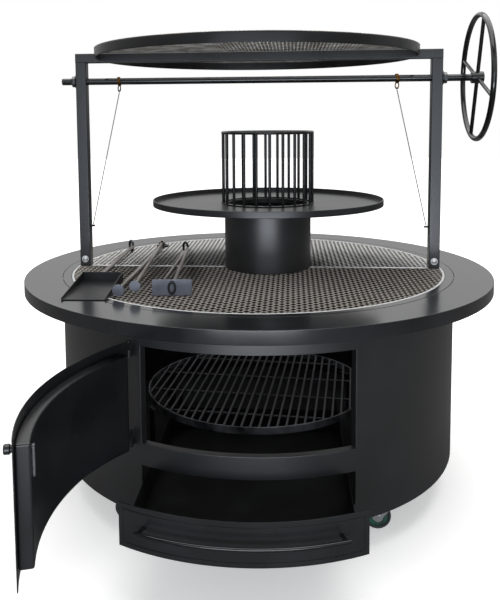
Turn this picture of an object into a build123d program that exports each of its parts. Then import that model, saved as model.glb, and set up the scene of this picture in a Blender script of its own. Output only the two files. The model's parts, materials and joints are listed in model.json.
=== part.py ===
from build123d import *

import os
from math import cos, degrees, floor, hypot, radians, sin, sqrt

# Round charcoal grill on casters, in millimetres, +Z up.
# The origin is on the floor under the drum's axis, the door and the drawer face -Y,
# and the gallows stands along X with its handwheel at +X.
# The door and the drawer are stored open, the way they stand while the fire is tended.

# Table and drum
TABLE_WIDTH = 118.0
TABLE_TOP = 670.0
SHEET = 4.0
APRON_HEIGHT = 37.0
DRUM_R = 632.0
DRUM_WALL = 3.0
DRUM_BOTTOM = 106.0
TABLE_SEAM = 1.0
COLLAR_WIDTH = 26.0
SEAT_WIDTH = 14.0
BRACKET_COUNT = 8
BRACKET_DEPTH = 64.0
BRACKET_THICKNESS = 5.0
BRACKET_APRON_GAP = 12.0

# Door opening and drawer opening, both centred on -Y
OPENING_HALF_ANGLE = 26.5
DOOR_SILL = 306.0
DOOR_HEAD = 570.0
DRAWER_SILL = 154.0
DRAWER_HEAD = 245.0
FRAME_DEPTH = 20.0
FRAME_SHEET = 3.0

# Door: a curved skin that laps over the opening, with a shallow box inside the opening
DOOR_OPEN_ANGLE = 97.5
DOOR_GAP = 2.5
DOOR_SKIN = 2.5
DOOR_LAP_ANGLE = 1.3
DOOR_LAP = 16.0
DOOR_BOX_DEPTH = 30.0
DOOR_BOX_SHEET = 2.0
DOOR_BOX_ANGLE_GAP = 1.3
DOOR_BOX_GAP = 8.0

# Door hinges
HINGE_ANGLE = 28.9
KNUCKLE_R = 8.0
KNUCKLE_HEIGHT = 20.0
KNUCKLE_GAP = 0.4
HINGE_PIN_R = 4.0
RUNNING_GAP = 0.05
HINGE_STRAP = 3.0
HINGE_STRAP_ANGLE = 4.6
HINGE_INSET = 6.0
PIN_HEAD_HEIGHT = 3.0
PIN_HEAD_R = 6.5

# Door latch: a knob outside and a lever inside, on one spindle
LATCH_ANGLE = 22.6
LATCH_DROP = 20.0
SPINDLE_R = 5.0
LEVER_LENGTH = 58.0
LEVER_WIDTH = 14.0
LEVER_THICKNESS = 4.0
LATCH_GAP = 1.0
KNOB_R = 10.0
KNOB_LENGTH = 14.0
KNOB_NECK_R = 7.0
KNOB_NECK_LENGTH = 5.0

# Ash drawer
DRAWER_TRAVEL = 205.0
DRAWER_FRONT = 3.0
DRAWER_FRONT_GAP = 2.0
DRAWER_LAP = 9.0
DRAWER_LAP_ANGLE = 1.3
TRAY_HALF_WIDTH = 264.0
TRAY_SHEET = 2.0
TRAY_FLOOR_GAP = 6.0
TRAY_TOP_GAP = 9.0
TRAY_BACK = 60.0
GROOVE_INSET = 12.0
GROOVE_WIDTH = 2.0
GROOVE_DEPTH = 1.0
HANDLE_R = 5.0
HANDLE_REACH = 30.0
HANDLE_HALF_ANGLE = 22.0
HANDLE_POST_ANGLE = 21.2
HANDLE_POST_R = 4.5
HANDLE_RISE = 8.0
RAIL_SHEET = 3.0
RAIL_FLANGE = 22.0
RAIL_SIDE_GAP = 1.0
REST_GAP = 0.3
RAIL_FRONT_GAP = 12.0

# Charcoal grate over the ash drawer, on brackets that stand on the drum's floor
GRATE_R = 368.0
GRATE_BOTTOM = 248.0
GRATE_TURN = 5.0
GRATE_BAND = 22.0
GRATE_BAND_THICKNESS = 6.0
GRATE_ROD_R = 5.0
GRATE_PITCH = 26.0
GRATE_CROSS_PITCH = 165.0
LEDGE_ANGLES = (60.0, 120.0, 240.0, 300.0)
LEDGE_SHEET = 4.0
LEDGE_HALF_ANGLE = 3.0
LEDGE_SIDE_GAP = 8.0
LEDGE_BEARING = 16.0

# Cooking mesh: two expanded-metal halves between two solid bearer plates
MESH_THICKNESS = 8.0
MESH_EDGE_GAP = 1.0
MESH_SPLIT = 3.0
MESH_RIM = 14.0
MESH_CELL_X = 76.0
MESH_CELL_Y = 124.0
MESH_STRAND = 7.5
BEARER_WIDTH = 49.0

# Gallows
POST = 35.0
POST_WALL = 3.0
POST_INSET = 25.0
CROSSBAR_BOTTOM = 1350.0
CROSSBAR_HEIGHT = 30.0
STUB_HEIGHT = 70.0
STUB_GAP = 0.2
BOLT_R = 5.0
BOLT_HEIGHT = 24.0
BOLT_HEAD_R = 10.0
BOLT_HEAD = 6.0

# Winch: a shaft through both posts with a handwheel
SHAFT_R = 11.0
SHAFT_Z = 1289.0
SHAFT_LEFT = 45.0
BUSH_R = 15.0
BUSH_FLANGE_R = 22.0
BUSH_FLANGE = 4.0
STOP_COLLAR_R = 18.0
STOP_COLLAR = 11.0
STOP_GAP = 0.5
WHEEL_REACH = 128.0
WHEEL_R = 196.0
WHEEL_TUBE_R = 8.5
WHEEL_HUB_R = 19.0
WHEEL_HUB_LENGTH = 38.0
SPOKE_COUNT = 4
SPOKE_R = 6.0
SPOKE_ANGLE = 20.0

# Wire hooks on the shaft, and the wires stowed on the posts
HOOK_REACH = 125.0
HOOK_COLLAR_R = 14.5
HOOK_COLLAR_WIDTH = 8.0
HOOK_EYE_R = 9.0
HOOK_EYE_WIRE = 2.5
WIRE_R = 1.5
WIRE_GAP = 0.4
ANCHOR_Z = 806.0
ANCHOR_R = 5.0
ANCHOR_LENGTH = 14.0

# Upper grate, resting astride the crossbar
UPPER_R = 519.0
UPPER_BAND = 30.0
UPPER_BAND_THICKNESS = 5.0
UPPER_MESH_THICKNESS = 6.0
UPPER_CELL_X = 76.0
UPPER_CELL_Y = 124.0
UPPER_STRAND = 7.5
UPPER_RIM = 10.0
NOTCH_SIDE_GAP = 2.0
UPPER_REST_GAP = 0.3

# Fire tower: flue tube, lipped plate and fire basket, set down beside the middle
TOWER_X = 36.0
TOWER_Y = 12.0
FLUE_R = 143.0
FLUE_WALL = 3.0
FLUE_HEIGHT = 210.0
PLATE_R = 380.0
PLATE_SHEET = 4.0
PLATE_LIP = 20.0
PLATE_LIP_WALL = 3.0
PLATE_HOLE_R = 132.0
SPIGOT_HEIGHT = 14.0
SPIGOT_GAP = 0.6
SPIGOT_WALL = 3.0
BASKET_R = 148.0
BASKET_HEIGHT = 238.0
BASKET_BARS = 22
BASKET_TURN = 4.5
BASKET_BAR_R = 5.5
BASKET_RING_R = 5.0
BASKET_FOOT = 4.0
BASKET_FOOT_WIDTH = 12.0

# Casters, two at the front and two at the back
CASTER_INSET_X = 245.0
CASTER_INSET_Y = 232.0
CASTER_TRAIL = 28.0
CASTER_PLATE = 84.0
CASTER_PLATE_SHEET = 4.0
TYRE_R = 37.5
TYRE_WIDTH = 24.0
HUB_R = 24.0
HUB_BOSS_WIDTH = 28.0
HUB_BOSS_R = 11.0
FORK_SHEET = 3.5
FORK_GAP = 1.0
FORK_LEG = 26.0
FORK_CROWN = 4.0
SWIVEL_R = 23.0
SWIVEL_GAP = 0.4
KINGPIN_R = 7.0
KINGPIN_HEAD_R = 11.0
KINGPIN_HEAD = 4.0
AXLE_R = 5.0
AXLE_HEAD_R = 8.5
AXLE_HEAD = 4.0

# Fire tools lying on the mesh
TOOL_ROD_R = 6.0
TOOL_RING_R = 19.0
TOOL_RING_WIRE = 4.5
TOOL_RING_TURN = 30.0
PAN_WIDTH = 124.0
PAN_DEPTH = 235.0
PAN_WALL = 30.0
PAN_SHEET = 2.5
SHOVEL_INSET = 153.0
SHOVEL_FRONT = 117.0
SHOVEL_TURN = 1.5
SHOVEL_HANDLE = 480.0
SHOVEL_ROD_RISE = 24.0
TONGS_INSET = 239.0
TONGS_BACK = 355.0
TONGS_LENGTH = 700.0
TONGS_TURN = 2.1
TONGS_SPREAD = 1.9
TONGS_JAW_R = 20.0
TONGS_JAW = 4.0
TONGS_PIN_R = 5.0
TONGS_CROSS_GAP = 0.5
RAKE_INSET = 387.0
RAKE_FRONT = 185.0
RAKE_TURN = 4.0
RAKE_WIDTH = 112.0
RAKE_HEIGHT = 46.0
RAKE_SHEET = 4.0
RAKE_HANDLE = 620.0
RAKE_LOOP_WIDTH = 24.0
RAKE_LOOP_HEIGHT = 38.0
RAKE_LOOP_WIRE = 2.5

# Levels and radii that several pieces share
TABLE_R = DRUM_R + TABLE_WIDTH
SHEET_Z = TABLE_TOP - SHEET
SEAT_Z = TABLE_TOP - MESH_THICKNESS
COLLAR_IN_R = DRUM_R - COLLAR_WIDTH
SEAT_IN_R = COLLAR_IN_R - SEAT_WIDTH
DRUM_IN_R = DRUM_R - DRUM_WALL
FLOOR_TOP = DRUM_BOTTOM + DRUM_WALL
MESH_R = COLLAR_IN_R - MESH_EDGE_GAP
BEARER_X = MESH_R - BEARER_WIDTH
POST_CENTRE = MESH_R - POST_INSET
WHEEL_X = POST_CENTRE + WHEEL_REACH
HOOK_X = POST_CENTRE - HOOK_REACH
CASTER_X = DRUM_R - CASTER_INSET_X
CASTER_Y = DRUM_R - CASTER_INSET_Y
SHOVEL_X = SHOVEL_INSET - MESH_R
SHOVEL_Y = SHOVEL_FRONT - MESH_R
TONGS_X = TONGS_INSET - MESH_R
TONGS_Y = MESH_R - TONGS_BACK
RAKE_X = RAKE_INSET - MESH_R
RAKE_Y = RAKE_FRONT - MESH_R
CROSSBAR_TOP = CROSSBAR_BOTTOM + CROSSBAR_HEIGHT
DOOR_R = DRUM_R + DOOR_GAP
DOOR_OUT_R = DOOR_R + DOOR_SKIN
DOOR_HALF_ANGLE = OPENING_HALF_ANGLE + DOOR_LAP_ANGLE
DOOR_LOW = DOOR_SILL - DOOR_LAP
DOOR_HIGH = DOOR_HEAD + DOOR_LAP
BOX_IN_R = DOOR_R - DOOR_BOX_DEPTH
BOX_HALF_ANGLE = OPENING_HALF_ANGLE - DOOR_BOX_ANGLE_GAP
HINGE_R = DOOR_OUT_R + KNUCKLE_R
FRONT_R = DRUM_R + DRAWER_FRONT_GAP
FRONT_OUT_R = FRONT_R + DRAWER_FRONT
FRONT_HALF_ANGLE = OPENING_HALF_ANGLE + DRAWER_LAP_ANGLE
FRONT_LOW = DRAWER_SILL - DRAWER_LAP
FRONT_HIGH = DRAWER_HEAD + DRAWER_LAP
TRAY_BOTTOM = DRAWER_SILL + TRAY_FLOOR_GAP
TRAY_TOP = DRAWER_HEAD - TRAY_TOP_GAP
PLATE_Z = TABLE_TOP + FLUE_HEIGHT
BASKET_Z = PLATE_Z + PLATE_SHEET + REST_GAP
TOOL_Z = TABLE_TOP + REST_GAP

NODES = {}


def ring(outer, inner, low, high):
    """Flat ring about Z between two heights."""
    return Pos(0, 0, low) * extrude(Circle(outer) - Circle(inner), amount=high - low)


def disc(radius, low, high):
    """Solid disc about Z between two heights."""
    return Pos(0, 0, low) * extrude(Circle(radius), amount=high - low)


def block(low, high):
    """Box between two corners."""
    size = [b - a for a, b in zip(low, high)]
    middle = [(a + b) / 2 for a, b in zip(low, high)]
    return Pos(*middle) * Box(*size)


def sector(inner, outer, low, high, start, end):
    """Part of a ring between two angles, counted from -Y towards +X."""
    profile = Plane.XZ * Pos((inner + outer) / 2, (low + high) / 2) * Rectangle(outer - inner, high - low)
    return Rot(0, 0, start - 90) * revolve(profile, Axis.Z, end - start)


def rod(start, end, radius):
    """Round rod between two points."""
    start, end = Vector(*start), Vector(*end)
    along = end - start
    base = Plane(origin=start, z_dir=along)
    return base * Cylinder(radius, along.length, align=(Align.CENTER, Align.CENTER, Align.MIN))


def hoop(radius, wire, centre, normal):
    """Closed ring of round wire about a point."""
    return Plane(origin=centre, z_dir=normal) * Torus(radius, wire)


def group(solids):
    """Several separate solids in one node."""
    return Compound(children=[solid for item in solids for solid in item.solids()])


def turned(shape, angle, x=0.0, y=0.0):
    """Shape turned about a vertical axis."""
    return Pos(x, y, 0) * Rot(0, 0, angle) * Pos(-x, -y, 0) * shape


def net(outline, inside, cell_x, cell_y, strand, low, thickness):
    """Sheet with staggered diamond gaps, kept where the whole gap passes the inside test."""
    half_x = cell_x / 2 - strand / 2
    half_y = cell_y / 2 - strand * cell_y / cell_x / 2
    reach = outline.bounding_box()
    rows = range(floor(reach.min.Y / cell_y * 2), floor(reach.max.Y / cell_y * 2) + 2)
    columns = range(floor(reach.min.X / cell_x), floor(reach.max.X / cell_x) + 2)
    gaps = []
    for row in rows:
        for column in columns:
            x = (column + row % 2 / 2) * cell_x
            y = row * cell_y / 2
            corners = [(x - half_x, y), (x, y - half_y), (x + half_x, y), (x, y + half_y)]
            if all(inside(*corner) for corner in corners):
                gaps.append(Polyline(*corners, close=True))
    sheet = Face(outline.face().outer_wire(), [Wire(gap.edges()) for gap in gaps])
    return Pos(0, 0, low) * extrude(sheet, amount=thickness, dir=(0, 0, 1))


def table_and_drum():
    """Drum with its two openings, its floor, the collar that seats the mesh, and the table ring."""
    shell = ring(DRUM_R, DRUM_IN_R, DRUM_BOTTOM, SHEET_Z)
    reach_in, reach_out = DRUM_IN_R - DRUM_WALL, DRUM_R + DRUM_WALL
    openings = ((DOOR_SILL, DOOR_HEAD), (DRAWER_SILL, DRAWER_HEAD))
    for low, high in openings:
        shell -= sector(reach_in, reach_out, low, high, -OPENING_HALF_ANGLE, OPENING_HALF_ANGLE)
    NODES["drum_shell"] = group([shell, *door_frame()])
    NODES["drum_floor"] = disc(DRUM_IN_R, DRUM_BOTTOM, FLOOR_TOP)
    flange = ring(DRUM_R, COLLAR_IN_R, SHEET_Z, TABLE_TOP)
    web = ring(COLLAR_IN_R + SHEET, COLLAR_IN_R, SEAT_Z - SHEET, SHEET_Z)
    seat = ring(COLLAR_IN_R, SEAT_IN_R, SEAT_Z - SHEET, SEAT_Z)
    NODES["top_collar"] = flange + web + seat
    table = ring(TABLE_R, DRUM_R + TABLE_SEAM, SHEET_Z, TABLE_TOP)
    apron = ring(TABLE_R, TABLE_R - SHEET, TABLE_TOP - APRON_HEIGHT, SHEET_Z)
    NODES["table_ring"] = table + apron


def door_frame():
    """Flanges welded inside the door opening's sill, head and two jambs."""
    frame_in = DRUM_IN_R - FRAME_DEPTH
    jamb = OPENING_HALF_ANGLE + degrees(FRAME_SHEET / DRUM_IN_R)
    sill_low, head_high = DOOR_SILL - FRAME_SHEET, DOOR_HEAD + FRAME_SHEET
    return [
        sector(frame_in, DRUM_IN_R, sill_low, DOOR_SILL, -jamb, jamb),
        sector(frame_in, DRUM_IN_R, DOOR_HEAD, head_high, -jamb, jamb),
        sector(frame_in, DRUM_IN_R, DOOR_SILL, DOOR_HEAD, -jamb, -OPENING_HALF_ANGLE),
        sector(frame_in, DRUM_IN_R, DOOR_SILL, DOOR_HEAD, OPENING_HALF_ANGLE, jamb),
    ]


def table_brackets():
    """Gusset plates that carry the table ring from the drum's wall."""
    outer = TABLE_R - SHEET - BRACKET_APRON_GAP
    toe = BRACKET_DEPTH / 4
    outline = Polyline(
        (DRUM_R - DRUM_WALL, SHEET_Z),
        (outer, SHEET_Z),
        (outer, SHEET_Z - toe),
        (DRUM_R + toe, SHEET_Z - BRACKET_DEPTH),
        (DRUM_R - DRUM_WALL, SHEET_Z - BRACKET_DEPTH),
        close=True,
    )
    plate = extrude(Plane.XZ * make_face(outline), amount=BRACKET_THICKNESS / 2, both=True)
    plate -= disc(DRUM_R, SHEET_Z - 2 * BRACKET_DEPTH, TABLE_TOP)
    step = 360 / BRACKET_COUNT
    NODES["table_brackets"] = group(Rot(0, 0, step * (i + 0.5)) * plate for i in range(BRACKET_COUNT))


def charcoal_grate():
    """Round bar grate in a band, lying on four brackets that stand on the drum's floor."""
    band_in = GRATE_R - GRATE_BAND_THICKNESS
    NODES["charcoal_band"] = ring(GRATE_R, band_in, GRATE_BOTTOM, GRATE_BOTTOM + GRATE_BAND)
    bar_z = GRATE_BOTTOM + GRATE_BAND - GRATE_ROD_R
    cross_z = bar_z - 2 * GRATE_ROD_R
    trim = disc(band_in, GRATE_BOTTOM - GRATE_BAND, GRATE_BOTTOM + 2 * GRATE_BAND)
    bars = []
    count = floor((band_in - 2 * GRATE_ROD_R) / GRATE_PITCH)
    for i in range(-count, count + 1):
        x = i * GRATE_PITCH
        bars.append(rod((x, -band_in, bar_z), (x, band_in, bar_z), GRATE_ROD_R) & trim)
    count = floor((band_in - 2 * GRATE_ROD_R) / GRATE_CROSS_PITCH - 0.5) + 1
    for i in range(-count, count):
        y = (i + 0.5) * GRATE_CROSS_PITCH
        bars.append(rod((-band_in, y, cross_z), (band_in, y, cross_z), GRATE_ROD_R) & trim)
    NODES["charcoal_bars"] = group(Rot(0, 0, -GRATE_TURN) * bar for bar in bars)
    shelf_in = band_in - LEDGE_BEARING
    shelf_low = GRATE_BOTTOM - LEDGE_SHEET
    leg_in = GRATE_R + LEDGE_SIDE_GAP
    leg_out = leg_in + LEDGE_SHEET
    half = LEDGE_HALF_ANGLE
    shelf = sector(shelf_in, leg_out, shelf_low, GRATE_BOTTOM, -half, half)
    leg = sector(leg_in, leg_out, FLOOR_TOP, shelf_low, -half, half)
    ledge = shelf + leg
    NODES["grate_ledges"] = group(Rot(0, 0, angle) * ledge for angle in LEDGE_ANGLES)


def cooking_mesh():
    """Two mesh halves on the collar's seat, between the solid bearer plates."""
    split = MESH_SPLIT / 2
    edge_x = BEARER_X - MESH_EDGE_GAP
    reach = 2 * MESH_R

    def inside(x, y):
        return abs(x) < edge_x - MESH_RIM and y > split + MESH_RIM and hypot(x, y) < SEAT_IN_R

    outline = Circle(MESH_R) & (Pos(0, split + reach / 2) * Rectangle(2 * edge_x, reach))
    half = net(outline, inside, MESH_CELL_X, MESH_CELL_Y, MESH_STRAND, SEAT_Z, MESH_THICKNESS)
    NODES["mesh_back"] = half
    NODES["mesh_front"] = Rot(0, 0, 180) * half


def bolt_hole(x):
    """Bolt shank through a post's foot."""
    bolt_z = TABLE_TOP + BOLT_HEIGHT
    return rod((x, -POST / 2, bolt_z), (x, POST / 2, bolt_z), BOLT_R)


def bearer_plate(sign):
    """Solid end of the cooking surface, with the square stub that a post slips over."""
    x = sign * POST_CENTRE
    reach = 2 * MESH_R
    edges = sorted((sign * BEARER_X, sign * reach))
    plate = disc(MESH_R, SEAT_Z, TABLE_TOP)
    plate &= block((edges[0], -reach, SEAT_Z), (edges[1], reach, TABLE_TOP))
    half = POST / 2 - POST_WALL - STUB_GAP
    plate += block((x - half, -half, TABLE_TOP), (x + half, half, TABLE_TOP + STUB_HEIGHT))
    return plate - bolt_hole(x)


def post(sign):
    """Square tube post with the small peg that its wire is tied to."""
    x = sign * POST_CENTRE
    half = POST / 2
    inner = half - POST_WALL
    tube = block((x - half, -half, TABLE_TOP), (x + half, half, CROSSBAR_BOTTOM))
    tube -= block((x - inner, -inner, TABLE_TOP), (x + inner, inner, CROSSBAR_BOTTOM))
    tube -= rod((x - POST, 0, SHAFT_Z), (x + POST, 0, SHAFT_Z), BUSH_R)
    tube -= bolt_hole(x)
    face = x - sign * half
    peg = rod((face, 0, ANCHOR_Z), (face - sign * ANCHOR_LENGTH, 0, ANCHOR_Z), ANCHOR_R)
    return group([tube, peg])


def post_bolt(x):
    """Through bolt at a post's foot, with its head at the front and its nut at the back."""
    bolt_z = TABLE_TOP + BOLT_HEIGHT
    bolt = bolt_hole(x)
    for face, end in ((-POST / 2, -POST / 2 - BOLT_HEAD), (POST / 2, POST / 2 + BOLT_HEAD)):
        bolt += rod((x, face, bolt_z), (x, end, bolt_z), BOLT_HEAD_R)
    return bolt


def shaft_bush(sign):
    """Flanged bush for the winch shaft, through both walls of a post."""
    inner_x, outer_x = sign * (POST_CENTRE - POST / 2), sign * (POST_CENTRE + POST / 2)
    flange_x = outer_x + sign * BUSH_FLANGE
    bush = rod((inner_x, 0, SHAFT_Z), (outer_x, 0, SHAFT_Z), BUSH_R)
    bush += rod((outer_x, 0, SHAFT_Z), (flange_x, 0, SHAFT_Z), BUSH_FLANGE_R)
    return bush - rod((inner_x, 0, SHAFT_Z), (flange_x, 0, SHAFT_Z), SHAFT_R + RUNNING_GAP)


def gallows():
    """Two posts slipped over stubs on the bearer plates, with a capped crossbar on top."""
    for sign, side in ((-1, "left"), (1, "right")):
        NODES[f"bearer_plate_{side}"] = bearer_plate(sign)
        NODES[f"post_{side}"] = post(sign)
    NODES["post_bolts"] = group(post_bolt(sign * POST_CENTRE) for sign in (-1, 1))
    NODES["shaft_bushes"] = group(shaft_bush(sign) for sign in (-1, 1))
    reach = POST_CENTRE + POST / 2
    half = POST / 2
    inner = half - POST_WALL
    low, high = CROSSBAR_BOTTOM + POST_WALL, CROSSBAR_TOP - POST_WALL
    bar = block((-reach, -half, CROSSBAR_BOTTOM), (reach, half, CROSSBAR_TOP))
    bar -= block((-reach, -inner, low), (reach, inner, high))
    left_cap = block((-reach, -inner, low), (POST_WALL - reach, inner, high))
    right_cap = block((reach - POST_WALL, -inner, low), (reach, inner, high))
    NODES["crossbar"] = group([bar, left_cap, right_cap])


def winch():
    """Shaft with stop collars, handwheel and the two brass wire hooks."""
    outer = POST_CENTRE + POST / 2 + BUSH_FLANGE + STOP_GAP
    left = -outer - SHAFT_LEFT
    right = WHEEL_X + WHEEL_HUB_LENGTH / 2
    shaft = rod((left, 0, SHAFT_Z), (right, 0, SHAFT_Z), SHAFT_R)
    NODES["winch_shaft"] = shaft
    collars = []
    for sign in (-1, 1):
        ends = ((sign * outer, 0, SHAFT_Z), (sign * (outer + STOP_COLLAR), 0, SHAFT_Z))
        collars.append(rod(*ends, STOP_COLLAR_R) - shaft)
    NODES["stop_collars"] = group(collars)
    hub_ends = [(WHEEL_X + side * WHEEL_HUB_LENGTH / 2, 0, SHAFT_Z) for side in (-1, 1)]
    hub = rod(*hub_ends, WHEEL_HUB_R)
    rim = hoop(WHEEL_R, WHEEL_TUBE_R, (WHEEL_X, 0, SHAFT_Z), (1, 0, 0))
    NODES["handwheel_rim"] = rim
    spokes = []
    for i in range(SPOKE_COUNT):
        angle = radians(SPOKE_ANGLE + i * 360 / SPOKE_COUNT)
        tip = (WHEEL_X, -WHEEL_R * sin(angle), SHAFT_Z + WHEEL_R * cos(angle))
        spokes.append(rod((WHEEL_X, 0, SHAFT_Z), tip, SPOKE_R) - hub - rim)
    NODES["handwheel_spokes"] = group([hub - shaft, *spokes])
    hooks = []
    eye_z = SHAFT_Z - HOOK_COLLAR_R - HOOK_EYE_R
    for sign in (-1, 1):
        x = sign * HOOK_X
        ends = [(x + side * HOOK_COLLAR_WIDTH / 2, 0, SHAFT_Z) for side in (-1, 1)]
        eye = hoop(HOOK_EYE_R, HOOK_EYE_WIRE, (x, 0, eye_z), (0, 1, 0))
        hooks.append((rod(*ends, HOOK_COLLAR_R) + eye) - shaft)
    NODES["wire_hooks"] = group(hooks)


def wires():
    """Two steel wires, pulled tight from the hooks to the posts' anchors."""
    top_z = SHAFT_Z - HOOK_COLLAR_R - 2 * HOOK_EYE_R - HOOK_EYE_WIRE - WIRE_GAP
    for sign, side in ((-1, "left"), (1, "right")):
        top = Vector(sign * HOOK_X, 0, top_z)
        foot_x = POST_CENTRE - POST / 2 - ANCHOR_LENGTH / 2
        foot = Vector(sign * foot_x, 0, ANCHOR_Z)
        along = (foot - top).normalized()
        start = top + along * WIRE_R
        anchor = rod((0, 0, ANCHOR_Z), (sign * POST_CENTRE, 0, ANCHOR_Z), ANCHOR_R)
        NODES[f"wire_{side}"] = rod(start, foot, WIRE_R) - anchor


def upper_grate():
    """Round mesh grate in a flat band that is notched over the crossbar."""
    low = CROSSBAR_TOP + UPPER_REST_GAP
    high = low + UPPER_MESH_THICKNESS
    inner = UPPER_R - UPPER_BAND_THICKNESS
    notch_half = POST / 2 + NOTCH_SIDE_GAP
    band = ring(UPPER_R, inner, high - UPPER_BAND, high)
    band -= block((-2 * UPPER_R, -notch_half, high - 2 * UPPER_BAND), (2 * UPPER_R, notch_half, low))
    NODES["upper_grate_band"] = band

    def inside(x, y):
        return hypot(x, y) < inner - UPPER_RIM

    NODES["upper_grate_mesh"] = net(
        Circle(inner), inside, UPPER_CELL_X, UPPER_CELL_Y, UPPER_STRAND, low, UPPER_MESH_THICKNESS
    )


def fire_tower():
    """Flue tube standing on the mesh, with the lipped plate and the fire basket on it."""
    place = Pos(TOWER_X, TOWER_Y, 0)
    flue_in = FLUE_R - FLUE_WALL
    NODES["flue_tube"] = place * ring(FLUE_R, flue_in, TOOL_Z, PLATE_Z - REST_GAP)
    sheet = ring(PLATE_R, PLATE_HOLE_R, PLATE_Z, PLATE_Z + PLATE_SHEET)
    lip = ring(PLATE_R, PLATE_R - PLATE_LIP_WALL, PLATE_Z, PLATE_Z + PLATE_LIP)
    spigot_r = flue_in - SPIGOT_GAP
    spigot = ring(spigot_r, spigot_r - SPIGOT_WALL, PLATE_Z - SPIGOT_HEIGHT, PLATE_Z)
    NODES["fire_plate"] = place * (sheet + lip + spigot)
    foot_out = BASKET_R + BASKET_FOOT_WIDTH / 2
    foot_in = BASKET_R - BASKET_FOOT_WIDTH / 2
    foot_top = BASKET_Z + BASKET_FOOT
    NODES["basket_foot"] = place * ring(foot_out, foot_in, BASKET_Z, foot_top)
    rim_z = BASKET_Z + BASKET_HEIGHT - BASKET_RING_R
    rim = Pos(0, 0, rim_z) * Torus(BASKET_R, BASKET_RING_R)
    NODES["basket_rim"] = place * rim
    bars = []
    for i in range(BASKET_BARS):
        angle = radians(i * 360 / BASKET_BARS + BASKET_TURN)
        x, y = BASKET_R * sin(angle), -BASKET_R * cos(angle)
        bars.append(place * (rod((x, y, foot_top), (x, y, rim_z), BASKET_BAR_R) - rim))
    NODES["basket_bars"] = group(bars)


def door():
    """Curved door: skin, inner box, hinge knuckles and latch, built shut and then swung open."""
    hinge = (HINGE_R * sin(radians(-HINGE_ANGLE)), -HINGE_R * cos(radians(HINGE_ANGLE)))
    skin = sector(DOOR_R, DOOR_OUT_R, DOOR_LOW, DOOR_HIGH, -DOOR_HALF_ANGLE, DOOR_HALF_ANGLE)
    box_low, box_high = DOOR_SILL + DOOR_BOX_GAP, DOOR_HEAD - DOOR_BOX_GAP
    box = sector(BOX_IN_R, DOOR_R, box_low, box_high, -BOX_HALF_ANGLE, BOX_HALF_ANGLE)
    wall_angle = degrees(DOOR_BOX_SHEET / DOOR_R)
    hollow = BOX_HALF_ANGLE - wall_angle
    box -= sector(
        BOX_IN_R + DOOR_BOX_SHEET,
        DOOR_R,
        box_low + DOOR_BOX_SHEET,
        box_high - DOOR_BOX_SHEET,
        -hollow,
        hollow,
    )
    latch_z = box_high - LATCH_DROP
    bore = rod((0, -BOX_IN_R + DOOR_BOX_DEPTH, latch_z), (0, -DOOR_OUT_R - DOOR_BOX_DEPTH, latch_z), SPINDLE_R + RUNNING_GAP)
    bore = Rot(0, 0, LATCH_ANGLE) * bore
    knuckle_lows = (DOOR_LOW + HINGE_INSET, DOOR_HIGH - HINGE_INSET - 2 * KNUCKLE_HEIGHT - KNUCKLE_GAP)
    door_straps, frame_straps, pins = [], [], []
    strap_end = -HINGE_ANGLE + HINGE_STRAP_ANGLE
    frame_end = -HINGE_ANGLE - HINGE_STRAP_ANGLE
    web = degrees(HINGE_STRAP / HINGE_R)
    for low in knuckle_lows:
        middle = low + KNUCKLE_HEIGHT
        upper = middle + KNUCKLE_GAP
        top = upper + KNUCKLE_HEIGHT
        pin_bore = Pos(*hinge, 0) * disc(HINGE_PIN_R + RUNNING_GAP, low, top)
        strap = Pos(*hinge, 0) * disc(KNUCKLE_R, upper, top)
        strap += sector(DOOR_OUT_R, DOOR_OUT_R + HINGE_STRAP, upper, top, -HINGE_ANGLE, strap_end)
        door_straps.append(strap - pin_bore)
        pin = Pos(*hinge, 0) * disc(HINGE_PIN_R, low, top + KNUCKLE_GAP)
        pin += Pos(*hinge, 0) * disc(PIN_HEAD_R, top + KNUCKLE_GAP, top + KNUCKLE_GAP + PIN_HEAD_HEIGHT)
        frame = Pos(*hinge, 0) * disc(KNUCKLE_R, low, middle)
        frame += sector(DRUM_R, HINGE_R, low, middle, -HINGE_ANGLE - web, -HINGE_ANGLE)
        frame += sector(DRUM_R, DRUM_R + HINGE_STRAP, low, middle, frame_end, -HINGE_ANGLE)
        frame_straps.append(frame - pin)
        pins.append(pin)
    NODES["hinge_brackets"] = group(frame_straps + pins)
    swung = {
        "door_skin": skin - bore,
        "door_box": box - bore,
        "door_hinge_straps": group(door_straps),
        **latch_solids(latch_z),
    }
    for name, shape in swung.items():
        NODES[name] = turned(shape, -DOOR_OPEN_ANGLE, *hinge)


def latch_solids(latch_z):
    """Knob, spindle and lever of the door's latch, with the door shut."""
    lever_out = BOX_IN_R - LATCH_GAP
    lever_in = lever_out - LEVER_THICKNESS
    knob_in = DOOR_OUT_R + LATCH_GAP
    neck_out = knob_in + KNOB_NECK_LENGTH
    spindle = rod((0, -lever_in, latch_z), (0, -neck_out, latch_z), SPINDLE_R)
    half = LEVER_WIDTH / 2
    lever = block((-half, -lever_out, latch_z - LEVER_LENGTH + half), (half, -lever_in, latch_z))
    for z in (latch_z, latch_z - LEVER_LENGTH + half):
        lever += rod((0, -lever_out, z), (0, -lever_in, z), half)
    neck = rod((0, -knob_in, latch_z), (0, -neck_out, latch_z), KNOB_NECK_R)
    grip = rod((0, -neck_out, latch_z), (0, -neck_out - KNOB_LENGTH, latch_z), KNOB_R)
    grip = fillet(grip.edges().filter_by(GeomType.CIRCLE), KNOB_LENGTH / 4)
    swing = Rot(0, 0, LATCH_ANGLE)
    return {
        "latch_lever": swing * (lever - spindle),
        "latch_knob": swing * group([spindle, (neck + grip) - spindle]),
    }


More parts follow.
